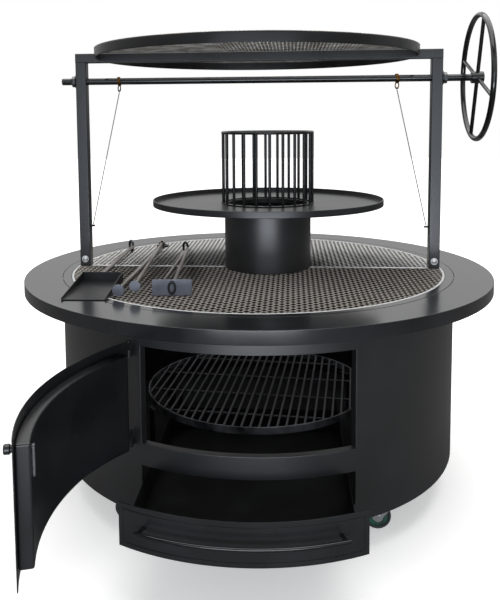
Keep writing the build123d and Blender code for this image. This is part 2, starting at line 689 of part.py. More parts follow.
def drawer():
    """Ash drawer with a curved front, built shut and then pulled out, and its rails."""
    front = sector(FRONT_R, FRONT_OUT_R, FRONT_LOW, FRONT_HIGH, -FRONT_HALF_ANGLE, FRONT_HALF_ANGLE)
    inset = degrees(GROOVE_INSET / FRONT_OUT_R)
    wide = degrees(GROOVE_WIDTH / FRONT_OUT_R)
    groove = sector(
        FRONT_OUT_R - GROOVE_DEPTH,
        FRONT_OUT_R + GROOVE_DEPTH,
        FRONT_LOW + GROOVE_INSET,
        FRONT_HIGH - GROOVE_INSET,
        -FRONT_HALF_ANGLE + inset,
        FRONT_HALF_ANGLE - inset,
    )
    groove -= sector(
        FRONT_OUT_R - 2 * GROOVE_DEPTH,
        FRONT_OUT_R + 2 * GROOVE_DEPTH,
        FRONT_LOW + GROOVE_INSET + GROOVE_WIDTH,
        FRONT_HIGH - GROOVE_INSET - GROOVE_WIDTH,
        -FRONT_HALF_ANGLE + inset + wide,
        FRONT_HALF_ANGLE - inset - wide,
    )
    front -= groove
    side = TRAY_HALF_WIDTH
    inner = side - TRAY_SHEET
    tray = block((-side, -FRONT_R, TRAY_BOTTOM), (side, TRAY_BACK, TRAY_TOP))
    tray -= block(
        (-inner, -FRONT_R - TRAY_SHEET, TRAY_BOTTOM + TRAY_SHEET),
        (inner, TRAY_BACK - TRAY_SHEET, TRAY_TOP + TRAY_SHEET),
    )
    tray &= disc(FRONT_R, TRAY_BOTTOM, TRAY_TOP)
    handle_z = (FRONT_LOW + FRONT_HIGH) / 2 + HANDLE_RISE
    handle_r = FRONT_OUT_R + HANDLE_REACH
    section = Plane.XZ * Pos(handle_r, handle_z) * Circle(HANDLE_R)
    bar = Rot(0, 0, -HANDLE_HALF_ANGLE - 90) * revolve(section, Axis.Z, 2 * HANDLE_HALF_ANGLE)
    posts = []
    for angle in (-HANDLE_POST_ANGLE, HANDLE_POST_ANGLE):
        post = Rot(0, 0, angle) * rod((0, -FRONT_R, handle_z), (0, -handle_r, handle_z), HANDLE_POST_R)
        posts.append(post - disc(FRONT_OUT_R, FRONT_LOW, FRONT_HIGH) - bar)
    pulled = Pos(0, -DRAWER_TRAVEL, 0)
    NODES["drawer_front"] = pulled * front
    NODES["drawer_tray"] = pulled * tray
    NODES["drawer_handle"] = pulled * group([bar, *posts])
    rail_in = side + RAIL_SIDE_GAP
    rail_out = rail_in + RAIL_SHEET
    rail_top = TRAY_BOTTOM - REST_GAP
    rail_front = -sqrt(DRUM_IN_R**2 - rail_out**2) + RAIL_FRONT_GAP
    rails = []
    for sign in (-1, 1):
        web_x = sorted((sign * rail_in, sign * rail_out))
        flange_x = sorted((sign * (rail_in - RAIL_FLANGE), sign * rail_in))
        rail = block((web_x[0], rail_front, FLOOR_TOP), (web_x[1], TRAY_BACK, TRAY_TOP - RAIL_FLANGE))
        rail += block((flange_x[0], rail_front, rail_top - RAIL_SHEET), (flange_x[1], TRAY_BACK, rail_top))
        rails.append(rail)
    NODES["drawer_rails"] = group(rails)


def caster(name, x, y, trail):
    """Swivel caster under the drum's floor; its plate and kingpin are returned for the shared node."""
    wheel_x = x + trail
    plate_low = DRUM_BOTTOM - CASTER_PLATE_SHEET
    half = CASTER_PLATE / 2
    plate = block((x - half, y - half, plate_low), (x + half, y + half, DRUM_BOTTOM))
    plate = fillet(plate.edges().filter_by(Axis.Z), half / 5)
    crown_top = plate_low - SWIVEL_GAP
    leg_in = HUB_BOSS_WIDTH / 2 + FORK_GAP
    leg_out = leg_in + FORK_SHEET
    crown_low = 2 * TYRE_R + KINGPIN_HEAD + 2 * FORK_GAP
    race = Pos(x, y, 0) * disc(SWIVEL_R, crown_low + FORK_CROWN, crown_top)
    reach = sorted((x - trail / abs(trail) * SWIVEL_R, wheel_x))
    crown = block((reach[0], y - leg_out, crown_low), (reach[1], y + leg_out, crown_low + FORK_CROWN))
    fork = race + crown
    for sign in (-1, 1):
        leg_y = sorted((y + sign * leg_in, y + sign * leg_out))
        leg = Polyline(
            (x - trail / abs(trail) * SWIVEL_R, crown_low),
            (wheel_x, crown_low),
            (wheel_x + trail / abs(trail) * FORK_LEG / 2, TYRE_R),
            (wheel_x - trail / abs(trail) * FORK_LEG / 2, TYRE_R),
            close=True,
        )
        plate_leg = Pos(0, leg_y[1], 0) * extrude(Plane.XZ * make_face(leg), amount=FORK_SHEET)
        fork += plate_leg
        fork += rod((wheel_x, leg_y[0], TYRE_R), (wheel_x, leg_y[1], TYRE_R), FORK_LEG / 2)
    pin_low = crown_low - KINGPIN_HEAD
    head = Pos(x, y, 0) * disc(KINGPIN_HEAD_R, pin_low, crown_low - SWIVEL_GAP)
    pin = head + Pos(x, y, 0) * disc(KINGPIN_R, pin_low, plate_low)
    fork -= Pos(x, y, 0) * disc(KINGPIN_R + RUNNING_GAP, pin_low, DRUM_BOTTOM)
    axle = rod((wheel_x, y - leg_out, TYRE_R), (wheel_x, y + leg_out, TYRE_R), AXLE_R)
    for sign in (-1, 1):
        ends = (wheel_x, y + sign * leg_out, TYRE_R), (wheel_x, y + sign * (leg_out + AXLE_HEAD), TYRE_R)
        axle += rod(*ends, AXLE_HEAD_R)
    NODES[f"caster_fork_{name}"] = group([fork - axle, axle])
    hub = rod((wheel_x, y - TYRE_WIDTH / 2, TYRE_R), (wheel_x, y + TYRE_WIDTH / 2, TYRE_R), HUB_R)
    boss_half = HUB_BOSS_WIDTH / 2
    hub += rod((wheel_x, y - boss_half, TYRE_R), (wheel_x, y + boss_half, TYRE_R), HUB_BOSS_R)
    bore = rod((wheel_x, y - TYRE_WIDTH, TYRE_R), (wheel_x, y + TYRE_WIDTH, TYRE_R), AXLE_R + RUNNING_GAP)
    NODES[f"caster_hub_{name}"] = hub - bore
    tread = rod((wheel_x, y - TYRE_WIDTH / 2, TYRE_R), (wheel_x, y + TYRE_WIDTH / 2, TYRE_R), TYRE_R)
    tread = fillet(tread.edges().filter_by(GeomType.CIRCLE), TYRE_WIDTH / 5)
    core = rod((wheel_x, y - TYRE_WIDTH, TYRE_R), (wheel_x, y + TYRE_WIDTH, TYRE_R), HUB_R)
    NODES[f"caster_tyre_{name}"] = tread - core
    return plate, pin


def casters():
    """Four swivel casters, trailing towards the drum's axis at the front and outwards at the back."""
    plates, pins = [], []
    corners = (
        ("front_left", -1, -1, 1),
        ("front_right", 1, -1, -1),
        ("back_left", -1, 1, 1),
        ("back_right", 1, 1, -1),
    )
    for name, side_x, side_y, trail in corners:
        plate, pin = caster(name, side_x * CASTER_X, side_y * CASTER_Y, trail * CASTER_TRAIL)
        plates.append(plate)
        pins.append(pin)
    NODES["caster_plates"] = group(plates + pins)


def end_ring(y, z):
    """Upright hanging ring set against the end of a tool's rod, turned a little off the rod's line."""
    turn = radians(TOOL_RING_TURN)
    tube_y = y + REST_GAP + TOOL_RING_WIRE
    centre = (-TOOL_RING_R * sin(turn), tube_y + TOOL_RING_R * cos(turn), z)
    return hoop(TOOL_RING_R, TOOL_RING_WIRE, centre, (cos(turn), sin(turn), 0))


def shovel():
    """Ash shovel: an open-fronted pan on a long rod with a ring at its end."""
    half = PAN_WIDTH / 2
    pan = block((-half, 0, 0), (half, PAN_DEPTH, PAN_WALL))
    pan -= block(
        (-half + PAN_SHEET, -PAN_SHEET, PAN_SHEET), (half - PAN_SHEET, PAN_DEPTH - PAN_SHEET, PAN_WALL + PAN_SHEET)
    )
    rod_z = SHOVEL_ROD_RISE
    end = PAN_DEPTH + SHOVEL_HANDLE
    handle = rod((0, PAN_DEPTH, rod_z), (0, end, rod_z), TOOL_ROD_R)
    place = Pos(SHOVEL_X, SHOVEL_Y, TOOL_Z) * Rot(0, 0, SHOVEL_TURN)
    NODES["shovel_pan"] = place * pan
    NODES["shovel_handle"] = place * group([handle, end_ring(end, rod_z)])


def tongs():
    """Long tongs: two rods with round jaws, pinned together near the ring end."""
    place = Pos(TONGS_X, TONGS_Y, TOOL_Z) * Rot(0, 0, TONGS_TURN)
    lower_z = TONGS_JAW_R
    upper_z = lower_z + 2 * TOOL_ROD_R + TONGS_CROSS_GAP
    arms = {}
    for name, sign, z in (("lower", -1, lower_z), ("upper", 1, upper_z)):
        reach = TONGS_LENGTH
        arm = rod((0, 0, z), (0, -reach, z), TOOL_ROD_R)
        arm += rod((0, -reach, z), (0, -reach - TONGS_JAW, z), TONGS_JAW_R - (z - lower_z) / 2)
        arms[name] = Rot(0, 0, sign * TONGS_SPREAD) * arm
    pin_top = upper_z + TOOL_ROD_R
    pin = Pos(0, 0, 0) * disc(TONGS_PIN_R, lower_z, pin_top + TOOL_RING_WIRE)
    loop_y = TOOL_RING_R + TOOL_ROD_R
    loop = hoop(TOOL_RING_R, TOOL_RING_WIRE, (0, loop_y, lower_z), (0, 0, 1))
    boss_r = 2 * TOOL_ROD_R
    lower = arms["lower"] + disc(boss_r, lower_z - TOOL_ROD_R, lower_z + TOOL_ROD_R) + pin
    upper = arms["upper"] + disc(boss_r, upper_z - TOOL_ROD_R, pin_top)
    upper -= disc(TONGS_PIN_R + RUNNING_GAP, 0, pin_top + TOOL_RING_WIRE)
    NODES["tongs_lower_arm"] = place * group([lower, loop - lower])
    NODES["tongs_upper_arm"] = place * upper


def rake():
    """Ember rake: an upright blade with a wire loop, on a long rod with a ring at its end."""
    half = RAKE_WIDTH / 2
    blade = block((-half, -RAKE_SHEET, 0), (half, 0, RAKE_HEIGHT))
    rod_z = RAKE_HEIGHT / 2
    handle = rod((0, 0, rod_z), (0, RAKE_HANDLE, rod_z), TOOL_ROD_R)
    hanger = end_ring(RAKE_HANDLE, rod_z)
    outer = SlotOverall(RAKE_LOOP_HEIGHT, RAKE_LOOP_WIDTH, rotation=90)
    inner = SlotOverall(RAKE_LOOP_HEIGHT - 4 * RAKE_LOOP_WIRE, RAKE_LOOP_WIDTH - 4 * RAKE_LOOP_WIRE, rotation=90)
    frame = Plane(origin=(0, -RAKE_SHEET, rod_z), x_dir=(1, 0, 0), z_dir=(0, -1, 0))
    eye = extrude(frame * (outer - inner), amount=2 * RAKE_LOOP_WIRE)
    place = Pos(RAKE_X, RAKE_Y, TOOL_Z) * Rot(0, 0, RAKE_TURN)
    NODES["rake_blade"] = place * blade
    NODES["rake_handle"] = place * group([handle, hanger, eye])


def main():
    table_and_drum()
    table_brackets()
    charcoal_grate()
    cooking_mesh()
    gallows()
    winch()
    wires()
    upper_grate()
    fire_tower()
    door()
    drawer()
    casters()
    shovel()
    tongs()
    rake()
    os.makedirs("parts", exist_ok=True)
    for name, shape in NODES.items():
        export_step(shape, f"parts/{name}.step")
    print(len(NODES), "nodes")


main()
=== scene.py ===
"""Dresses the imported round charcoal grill: its sheet metal, meshes, bars, tools and studio."""

import json
from math import acos, atan2, ceil, cos, degrees, hypot, pi, radians, sin, sqrt, tau

import bpy
from bpy.props import FloatProperty, FloatVectorProperty, IntProperty, PointerProperty
from mathutils import Matrix, Vector


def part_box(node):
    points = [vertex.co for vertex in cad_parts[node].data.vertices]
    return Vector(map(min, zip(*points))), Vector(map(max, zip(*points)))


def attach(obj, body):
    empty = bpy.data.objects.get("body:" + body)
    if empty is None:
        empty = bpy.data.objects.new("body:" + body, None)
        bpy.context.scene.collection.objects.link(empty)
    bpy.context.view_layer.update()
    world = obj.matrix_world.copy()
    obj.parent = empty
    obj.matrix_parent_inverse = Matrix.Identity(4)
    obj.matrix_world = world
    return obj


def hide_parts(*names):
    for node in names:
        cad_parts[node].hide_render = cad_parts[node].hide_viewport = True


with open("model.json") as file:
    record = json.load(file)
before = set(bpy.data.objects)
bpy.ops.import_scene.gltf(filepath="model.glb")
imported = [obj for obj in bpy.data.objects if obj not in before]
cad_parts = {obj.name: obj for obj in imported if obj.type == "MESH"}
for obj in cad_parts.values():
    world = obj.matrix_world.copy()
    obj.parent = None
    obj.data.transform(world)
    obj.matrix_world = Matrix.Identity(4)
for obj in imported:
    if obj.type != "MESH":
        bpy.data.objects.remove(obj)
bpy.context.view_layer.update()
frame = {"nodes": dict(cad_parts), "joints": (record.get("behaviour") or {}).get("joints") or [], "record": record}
JOINTS = {joint["name"]: joint for joint in frame["joints"]}

bl_info = {
    "name": "Round Charcoal Grill",
    "version": (1, 0, 0),
    "blender": (4, 5, 0),
    "location": "View3D > Sidebar > Grill",
    "description": "Builds the dressed pieces of a round charcoal grill around its packed frame",
    "category": "Add Mesh",
}

MM = 0.001


def linear(code):
    """Linear colour of an sRGB hex value."""
    parts = [int(code[i : i + 2], 16) / 255 for i in (1, 3, 5)]
    return tuple(p / 12.92 if p <= 0.04045 else ((p + 0.055) / 1.055) ** 2.4 for p in parts)


def size(name, description, default):
    """Length property in metres."""
    return FloatProperty(name=name, description=description, default=default, unit="LENGTH", precision=4)


def colour(name, description, code):
    """Colour property from an sRGB hex value."""
    return FloatVectorProperty(name=name, description=description, default=linear(code), subtype="COLOR")


def high(name):
    """Highest corner of a CAD node."""
    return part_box(name)[1]


def low(name):
    """Lowest corner of a CAD node."""
    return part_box(name)[0]


def middle_of(name):
    """Middle of a CAD node."""
    return (low(name) + high(name)) / 2


def extent(name):
    """Width, depth and height of a CAD node."""
    return high(name) - low(name)


class GrillSizes(bpy.types.PropertyGroup):
    """Sizes that only the dressed pieces have."""

    sheet_edge: size("Sheet edge", "Rounding of cut and folded sheet edges", 0.0013)
    fold_edge: size("Fold", "Rounding of the table's folded rim", 0.0017)
    tube_edge: size("Tube edge", "Corner radius of the square tube", 0.0026)
    bar_edge: size("Bar edge", "Rounding of cut bar ends", 0.0008)
    diamond_width: size("Diamond width", "Width of one expanded metal diamond", 0.0300)
    diamond_length: size("Diamond length", "Length of one expanded metal diamond", 0.0260)
    strand: size("Strand", "Width of an expanded metal strand", 0.0026)
    strand_lean: FloatProperty(name="Strand lean", description="How far the strands lean", default=0.3)
    cooking_strand: size("Cooking strand", "Height of the cooking mesh's strands", 0.0032)
    upper_strand: size("Upper strand", "Height of the upper grate's strands", 0.0024)
    net_band: size("Net band", "Width of the flat band round the cooking mesh", 0.0070)
    groove_depth: size("Groove depth", "Depth of the groove round the drawer front", 0.0016)
    steps: IntProperty(name="Spin steps", description="Steps of a full spin", default=240, min=24)


class GrillColours(bpy.types.PropertyGroup):
    """Colours of the finishes."""

    paint: colour("Paint", "Satin black heat-proof paint", "#131415")
    paint_worn: colour("Paint, rubbed", "The same paint where it is rubbed or dusty", "#1a1b1d")
    soot: colour("Sooted sheet", "Inside sheet steel", "#050506")
    # Pale bare steel, used only as the painted highlight along the tops of the cooking mesh's strands.
    mesh: colour("Expanded steel", "Bare expanded steel", "#b9b4ad")
    mesh_dark: colour("Expanded steel, dull", "Oxide between the bright edges", "#43301f")
    mesh_dull: colour("Expanded steel, grey", "Plain sides of the strands", "#4d4b49")
    # Also the painted highlight along the tops of the clean mesh's strands.
    bright: colour("Bright steel", "Bare bearer plates", "#c2c1be")
    zinc: colour("Zinc", "Zinc plated hardware", "#d2d4d6")
    brass: colour("Brass", "Worn brass hooks", "#94642b")
    bar: colour("Grate bar", "Dark bar steel", "#111213")
    # Pale grey: the painted highlight along the grate bars' tops, and a patch tone of the smoked plating.
    bar_highlight_grey: colour("Grate bar, scale", "Paler mill scale on the bars", "#4b4b4e")
    band: colour("Grate band", "Rolled flat band of the charcoal grate", "#5e5f62")
    rubber: colour("Rubber", "Caster tyre", "#1a201d")
    web: colour("Caster web", "Green moulded web of a caster wheel", "#0c5a42")
    wire: colour("Wire", "Drawn steel wire", "#5c5d60")
    # Also the painted dull band along the upper grate's strand tops.
    tool: colour("Tool rod", "Dull tool steel", "#77736d")
    blade: colour("Blade", "Blue-grey scaled steel", "#62656f")
    blade_worn: colour("Blade, rubbed", "The same steel where it is rubbed", "#565963")


def sizes():
    """Sizes that are set in the scene."""
    return bpy.context.scene.grill_sizes


def deselect():
    """Leaves edit mode and deselects everything, so that operators act on the next piece alone."""
    if bpy.context.object and bpy.context.object.mode != "OBJECT":
        bpy.ops.object.mode_set(mode="OBJECT")
    bpy.ops.object.select_all(action="DESELECT")


def choose(piece):
    """Makes a piece the only selected and active one."""
    deselect()
    piece.select_set(True)
    bpy.context.view_layer.objects.active = piece
    return piece


def settle():
    """Applies the active piece's place, turn and scale to its mesh."""
    bpy.ops.object.transform_apply(location=True, rotation=True, scale=True)
    return bpy.context.object


def edit_all():
    """Opens the active piece in edit mode with all of it selected."""
    bpy.ops.object.mode_set(mode="EDIT")
    bpy.ops.mesh.select_mode(type="VERT")
    bpy.ops.mesh.select_all(action="SELECT")


def leave():
    """Back to object mode on the active piece."""
    bpy.ops.object.mode_set(mode="OBJECT")
    return bpy.context.object


def close_holes():
    """Fills the open edges of the piece that is in edit mode."""
    bpy.ops.mesh.select_all(action="DESELECT")
    bpy.ops.mesh.select_non_manifold()
    bpy.ops.mesh.fill_holes(sides=0)


def pick_faces(piece, test):
    """Opens a piece in edit mode with the faces selected whose middle passes the test."""
    choose(piece)
    bpy.ops.object.mode_set(mode="EDIT")
    bpy.ops.mesh.select_mode(type="FACE")
    bpy.ops.mesh.select_all(action="DESELECT")
    bpy.ops.object.mode_set(mode="OBJECT")
    for face in piece.data.polygons:
        face.select = test(face.center)
    bpy.ops.object.mode_set(mode="EDIT")


def pick_points(piece, test):
    """Opens a piece in edit mode with the points selected that pass the test."""
    choose(piece)
    edit_all()
    bpy.ops.mesh.select_all(action="DESELECT")
    bpy.ops.object.mode_set(mode="OBJECT")
    for point in piece.data.vertices:
        point.select = test(point.co)
    bpy.ops.object.mode_set(mode="EDIT")


def opened(piece, test):
    """Deletes the faces whose middle passes the test."""
    pick_faces(piece, test)
    bpy.ops.mesh.delete(type="FACE")
    return leave()


def sliced(piece, planes, clear=False):
    """Cuts a piece along planes, given by a point and a normal, and may drop what lies beyond them."""
    choose(piece)
    edit_all()
    for point, normal in planes:
        bpy.ops.mesh.select_all(action="SELECT")
        bpy.ops.mesh.bisect(plane_co=point, plane_no=normal, clear_outer=clear)
    return leave()


def cut_off(piece, point, normal):
    """Drops what lies beyond a plane and closes the cut."""
    sliced(piece, [(point, normal)], clear=True)
    edit_all()
    close_holes()
    return leave()


def apply_modifier(piece, kind, **settings):
    """Adds a modifier with its settings and applies it."""
    choose(piece)
    modifier = piece.modifiers.new(kind.title(), kind)
    for key, value in settings.items():
        setattr(modifier, key, value)
    bpy.ops.object.modifier_apply(modifier=modifier.name)
    return piece


def bevel(piece, width, segments=2, angle=35):
    """Rounds the piece's edges that are sharper than an angle in degrees."""
    return apply_modifier(
        piece,
        "BEVEL",
        width=width,
        segments=segments,
        limit_method="ANGLE",
        angle_limit=radians(angle),
        use_clamp_overlap=True,
    )


def thickened(piece, thickness, edge, offset=0):
    """Gives a surface its sheet thickness and rounds its cut edges."""
    apply_modifier(piece, "SOLIDIFY", thickness=thickness, offset=offset, use_even_offset=True)
    return bevel(piece, edge)


def heading(angle):
    """Direction of an angle in degrees, counted from -Y towards +X."""
    return Vector((sin(radians(angle)), -cos(radians(angle)), 0))


def bearing(point):
    """Angle of a point about Z in degrees, counted from -Y towards +X."""
    return degrees(atan2(point.x, -point.y))


def spun_profile(points, start, end, closed):
    """Surface of revolution: a profile extruded run by run and spun about Z between two angles.

    The profile's points are (radius, height).
    """
    deselect()
    way = heading(start)
    first = way * points[0][0] + Vector((0, 0, points[0][1]))
    bpy.ops.mesh.primitive_plane_add(size=0.01, location=first)
    settle()
    edit_all()
    bpy.ops.mesh.merge(type="CENTER")
    for (r0, z0), (r1, z1) in zip(points, points[1:]):
        step = way * (r1 - r0) + Vector((0, 0, z1 - z0))
        bpy.ops.mesh.extrude_vertices_move(TRANSFORM_OT_translate={"value": step})
    bpy.ops.mesh.select_all(action="SELECT")
    if closed:
        bpy.ops.mesh.edge_face_add()
        bpy.ops.mesh.delete(type="ONLY_FACE")
        bpy.ops.mesh.select_all(action="SELECT")
    steps = max(4, round(sizes().steps * (end - start) / 360))
    bpy.ops.mesh.spin(steps=steps, angle=radians(start - end), center=(0, 0, 0), axis=(0, 0, 1))
    bpy.ops.mesh.select_all(action="SELECT")
    bpy.ops.mesh.remove_doubles(threshold=1e-5)
    if closed:
        close_holes()
        bpy.ops.mesh.select_all(action="SELECT")
    bpy.ops.mesh.normals_make_consistent(inside=False)
    return leave()


def full_spin(points):
    """Open surface of revolution, all the way round."""
    return spun_profile(points, -180, 180, closed=False)


def turned_sheet(points, thickness, edge=None):
    """Sheet of revolution whose profile points run along the middle of the sheet."""
    return thickened(full_spin(points), thickness, edge or sizes().sheet_edge)


def turned_solid(inner, outer, bottom, top, start, end, edge, segments=2):
    """Solid ring sector between two radii, two heights and two angles, with rounded edges."""
    points = [(inner, bottom), (outer, bottom), (outer, top), (inner, top)]
    return bevel(spun_profile(points, start, end, closed=True), edge, segments)


def turned_bar(bend, height, radius, start, end):
    """Round bar bent along an arc about Z, with rounded ends."""
    sides = 20
    turns = [tau * i / sides for i in range(sides)]
    points = [(bend + radius * cos(turn), height + radius * sin(turn)) for turn in turns]
    return bevel(spun_profile(points, start, end, closed=True), sizes().bar_edge, angle=60)


def moved(piece, offset):
    """Shifts a piece and applies the shift."""
    choose(piece)
    piece.location = offset
    return settle()


def swung(piece, angle, pivot=(0, 0)):
    """Turns a piece about a vertical axis and applies the turn."""
    choose(piece)
    axis = Vector((pivot[0], pivot[1], 0))
    turn = Matrix.Rotation(radians(angle), 4, "Z")
    piece.matrix_world = Matrix.Translation(axis) @ turn @ Matrix.Translation(-axis)
    return settle()


def joined(pieces):
    """Several meshes joined into one piece."""
    deselect()
    for piece in pieces:
        piece.select_set(True)
    bpy.context.view_layer.objects.active = pieces[0]
    bpy.ops.object.join()
    return bpy.context.object


def finished(piece, name, body, material, replaced=(), smooth=35):
    """Names a piece, shades it with flat faces between soft edges, and gives it its material and body."""
    choose(piece)
    settle()
    bpy.ops.object.shade_smooth_by_angle(angle=radians(smooth))
    apply_modifier(piece, "WEIGHTED_NORMAL", keep_sharp=True)
    piece.name = name
    piece.data.name = name
    piece.data.materials.clear()
    piece.data.materials.append(material)
    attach(piece, body)
    if replaced:
        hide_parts(*replaced)
    return piece


def lined(piece, material, middle=(0, 0)):
    """Gives the faces that look towards an upright axis a second material."""
    piece.data.materials.append(material)
    for face in piece.data.polygons:
        inwards = Vector((middle[0] - face.center.x, middle[1] - face.center.y, 0)).normalized()
        if face.normal.dot(inwards) > 0.5:
            face.material_index = 1
    return piece


def bar(start, end, radius, sides=24, edge=None):
    """Round bar between two points, with rounded ends."""
    deselect()
    start, end = Vector(start), Vector(end)
    along = end - start
    turn = along.to_track_quat("Z", "Y").to_euler()
    bpy.ops.mesh.primitive_cylinder_add(
        vertices=sides, radius=radius, depth=along.length, location=(start + end) / 2, rotation=turn
    )
    return bevel(settle(), edge or sizes().bar_edge, angle=65)


def nut(start, end, radius):
    """Hexagon nut between two points, with its corners broken."""
    return bar(start, end, radius, sides=6, edge=0.0012)


def block(corner, opposite, edge, segments=3):
    """Box between two corners with rounded edges."""
    deselect()
    corner, opposite = Vector(corner), Vector(opposite)
    bpy.ops.mesh.primitive_cube_add(size=1, location=(corner + opposite) / 2)
    bpy.context.object.scale = [abs(v) for v in opposite - corner]
    return bevel(settle(), edge, segments)


def square_tube(start, end, width, height, radius):
    """Square tube: its section with rounded corners, extruded to its length."""
    deselect()
    start, end = Vector(start), Vector(end)
    along = end - start
    bpy.ops.mesh.primitive_plane_add(size=1)
    bpy.context.object.scale = (width, height, 1)
    settle()
    edit_all()
    bpy.ops.mesh.bevel(offset=radius, segments=5, affect="VERTICES")
    bpy.ops.mesh.select_all(action="SELECT")
    bpy.ops.mesh.extrude_region_move(TRANSFORM_OT_translate={"value": (0, 0, along.length)})
    bpy.ops.mesh.select_all(action="SELECT")
    bpy.ops.mesh.normals_make_consistent(inside=False)
    piece = leave()
    piece.matrix_world = Matrix.Translation(start) @ along.to_track_quat("Z", "Y").to_matrix().to_4x4()
    sawn_edge = 0.0006
    return bevel(settle(), sawn_edge, segments=1, angle=60)


def hoop(radius, wire, centre, normal, around, sides):
    """Ring of round wire."""
    deselect()
    turn = Vector(normal).to_track_quat("Z", "Y").to_euler()
    bpy.ops.mesh.primitive_torus_add(
        major_radius=radius,
        minor_radius=wire,
        major_segments=around,
        minor_segments=sides,
        location=centre,
        rotation=turn,
    )
    return settle()


def long_hoop(radius, wire, stretch, centre, normal, around, sides):
    """Ring of round wire, stretched along Z by a factor."""
    ring = hoop(radius, wire, (0, 0, 0), normal, around, sides)
    ring.scale = (1, 1, stretch)
    return moved(ring, centre)


def dome(centre, radius, height, back):
    """Domed bolt head on a face towards -Y: half of a flattened ball."""
    deselect()
    bpy.ops.mesh.primitive_uv_sphere_add(segments=24, ring_count=16, radius=radius, location=centre)
    bpy.context.object.scale = (1, height / radius, 1)
    return cut_off(settle(), (0, back, 0), (0, 1, 0))


def expanded_sheet(width, depth, middle, trims, level, height, fineness=1):
    """Expanded metal: a lattice of diamonds, trimmed to its outline, with strands on edge that lean."""
    own = sizes()
    cell = (own.diamond_width * fineness, own.diamond_length * fineness, 1)
    deselect()
    count = ceil(width / cell[0] + depth / cell[1]) + 2
    bpy.ops.mesh.primitive_grid_add(x_subdivisions=count, y_subdivisions=count, size=count / sqrt(2))
    bpy.context.object.rotation_euler = (0, 0, pi / 4)
    settle()
    bpy.context.object.scale = cell
    bpy.context.object.location = (middle[0], middle[1], 0)
    piece = sliced(settle(), trims, clear=True)
    apply_modifier(
        piece,
        "WIREFRAME",
        thickness=own.strand,
        offset=0,
        use_boundary=True,
        use_even_offset=True,
        use_replace=True,
    )
    lean = Matrix(((1, 0, 0, 0), (0, 1, -own.strand_lean, 0), (0, 0, 1, 0), (0, 0, 0, 1)))
    upright = Matrix.Diagonal((1, 1, height / own.strand, 1))
    piece.data.transform(Matrix.Translation((0, 0, level)) @ lean @ upright)
    return piece


def round_trims(radius, start, end, count):
    """Planes that trim a sheet to an arc about Z, each by a point and an outward normal."""
    turns = [start + (end - start) * i / count for i in range(count + 1)]
    return [(heading(turn) * radius, heading(turn)) for turn in turns]


def node(tree, kind, values=None, links=None, **settings):
    """Adds one node with its settings, input values and links."""
    new = tree.nodes.new(kind)
    for key, value in settings.items():
        setattr(new, key, value)
    for key, value in (values or {}).items():
        new.inputs[key].default_value = value
    for key, source in (links or {}).items():
        tree.links.new(source, new.inputs[key])
    return new


def empty_tree(owner):
    """Node tree of a material or world, emptied of what it came with."""
    owner.use_nodes = True
    owner.node_tree.nodes.clear()
    return owner.node_tree


def rgba(value):
    """Colour with full alpha."""
    return (*value, 1.0)


def tone(name):
    """Colour of the finishes, by its name in GrillColours."""
    return rgba(getattr(bpy.context.scene.grill_colours, name))


# Depth in metres of the grain in a finish's relief.
GRAIN_RELIEF = 0.2 * MM

# Sockets of a Mix node by number, because its pairs of numbers and of colours share their names.
FACTOR = 0
NUMBER_A = 2
NUMBER_B = 3
COLOUR_A = 6
COLOUR_B = 7
COLOUR_OUT = 2


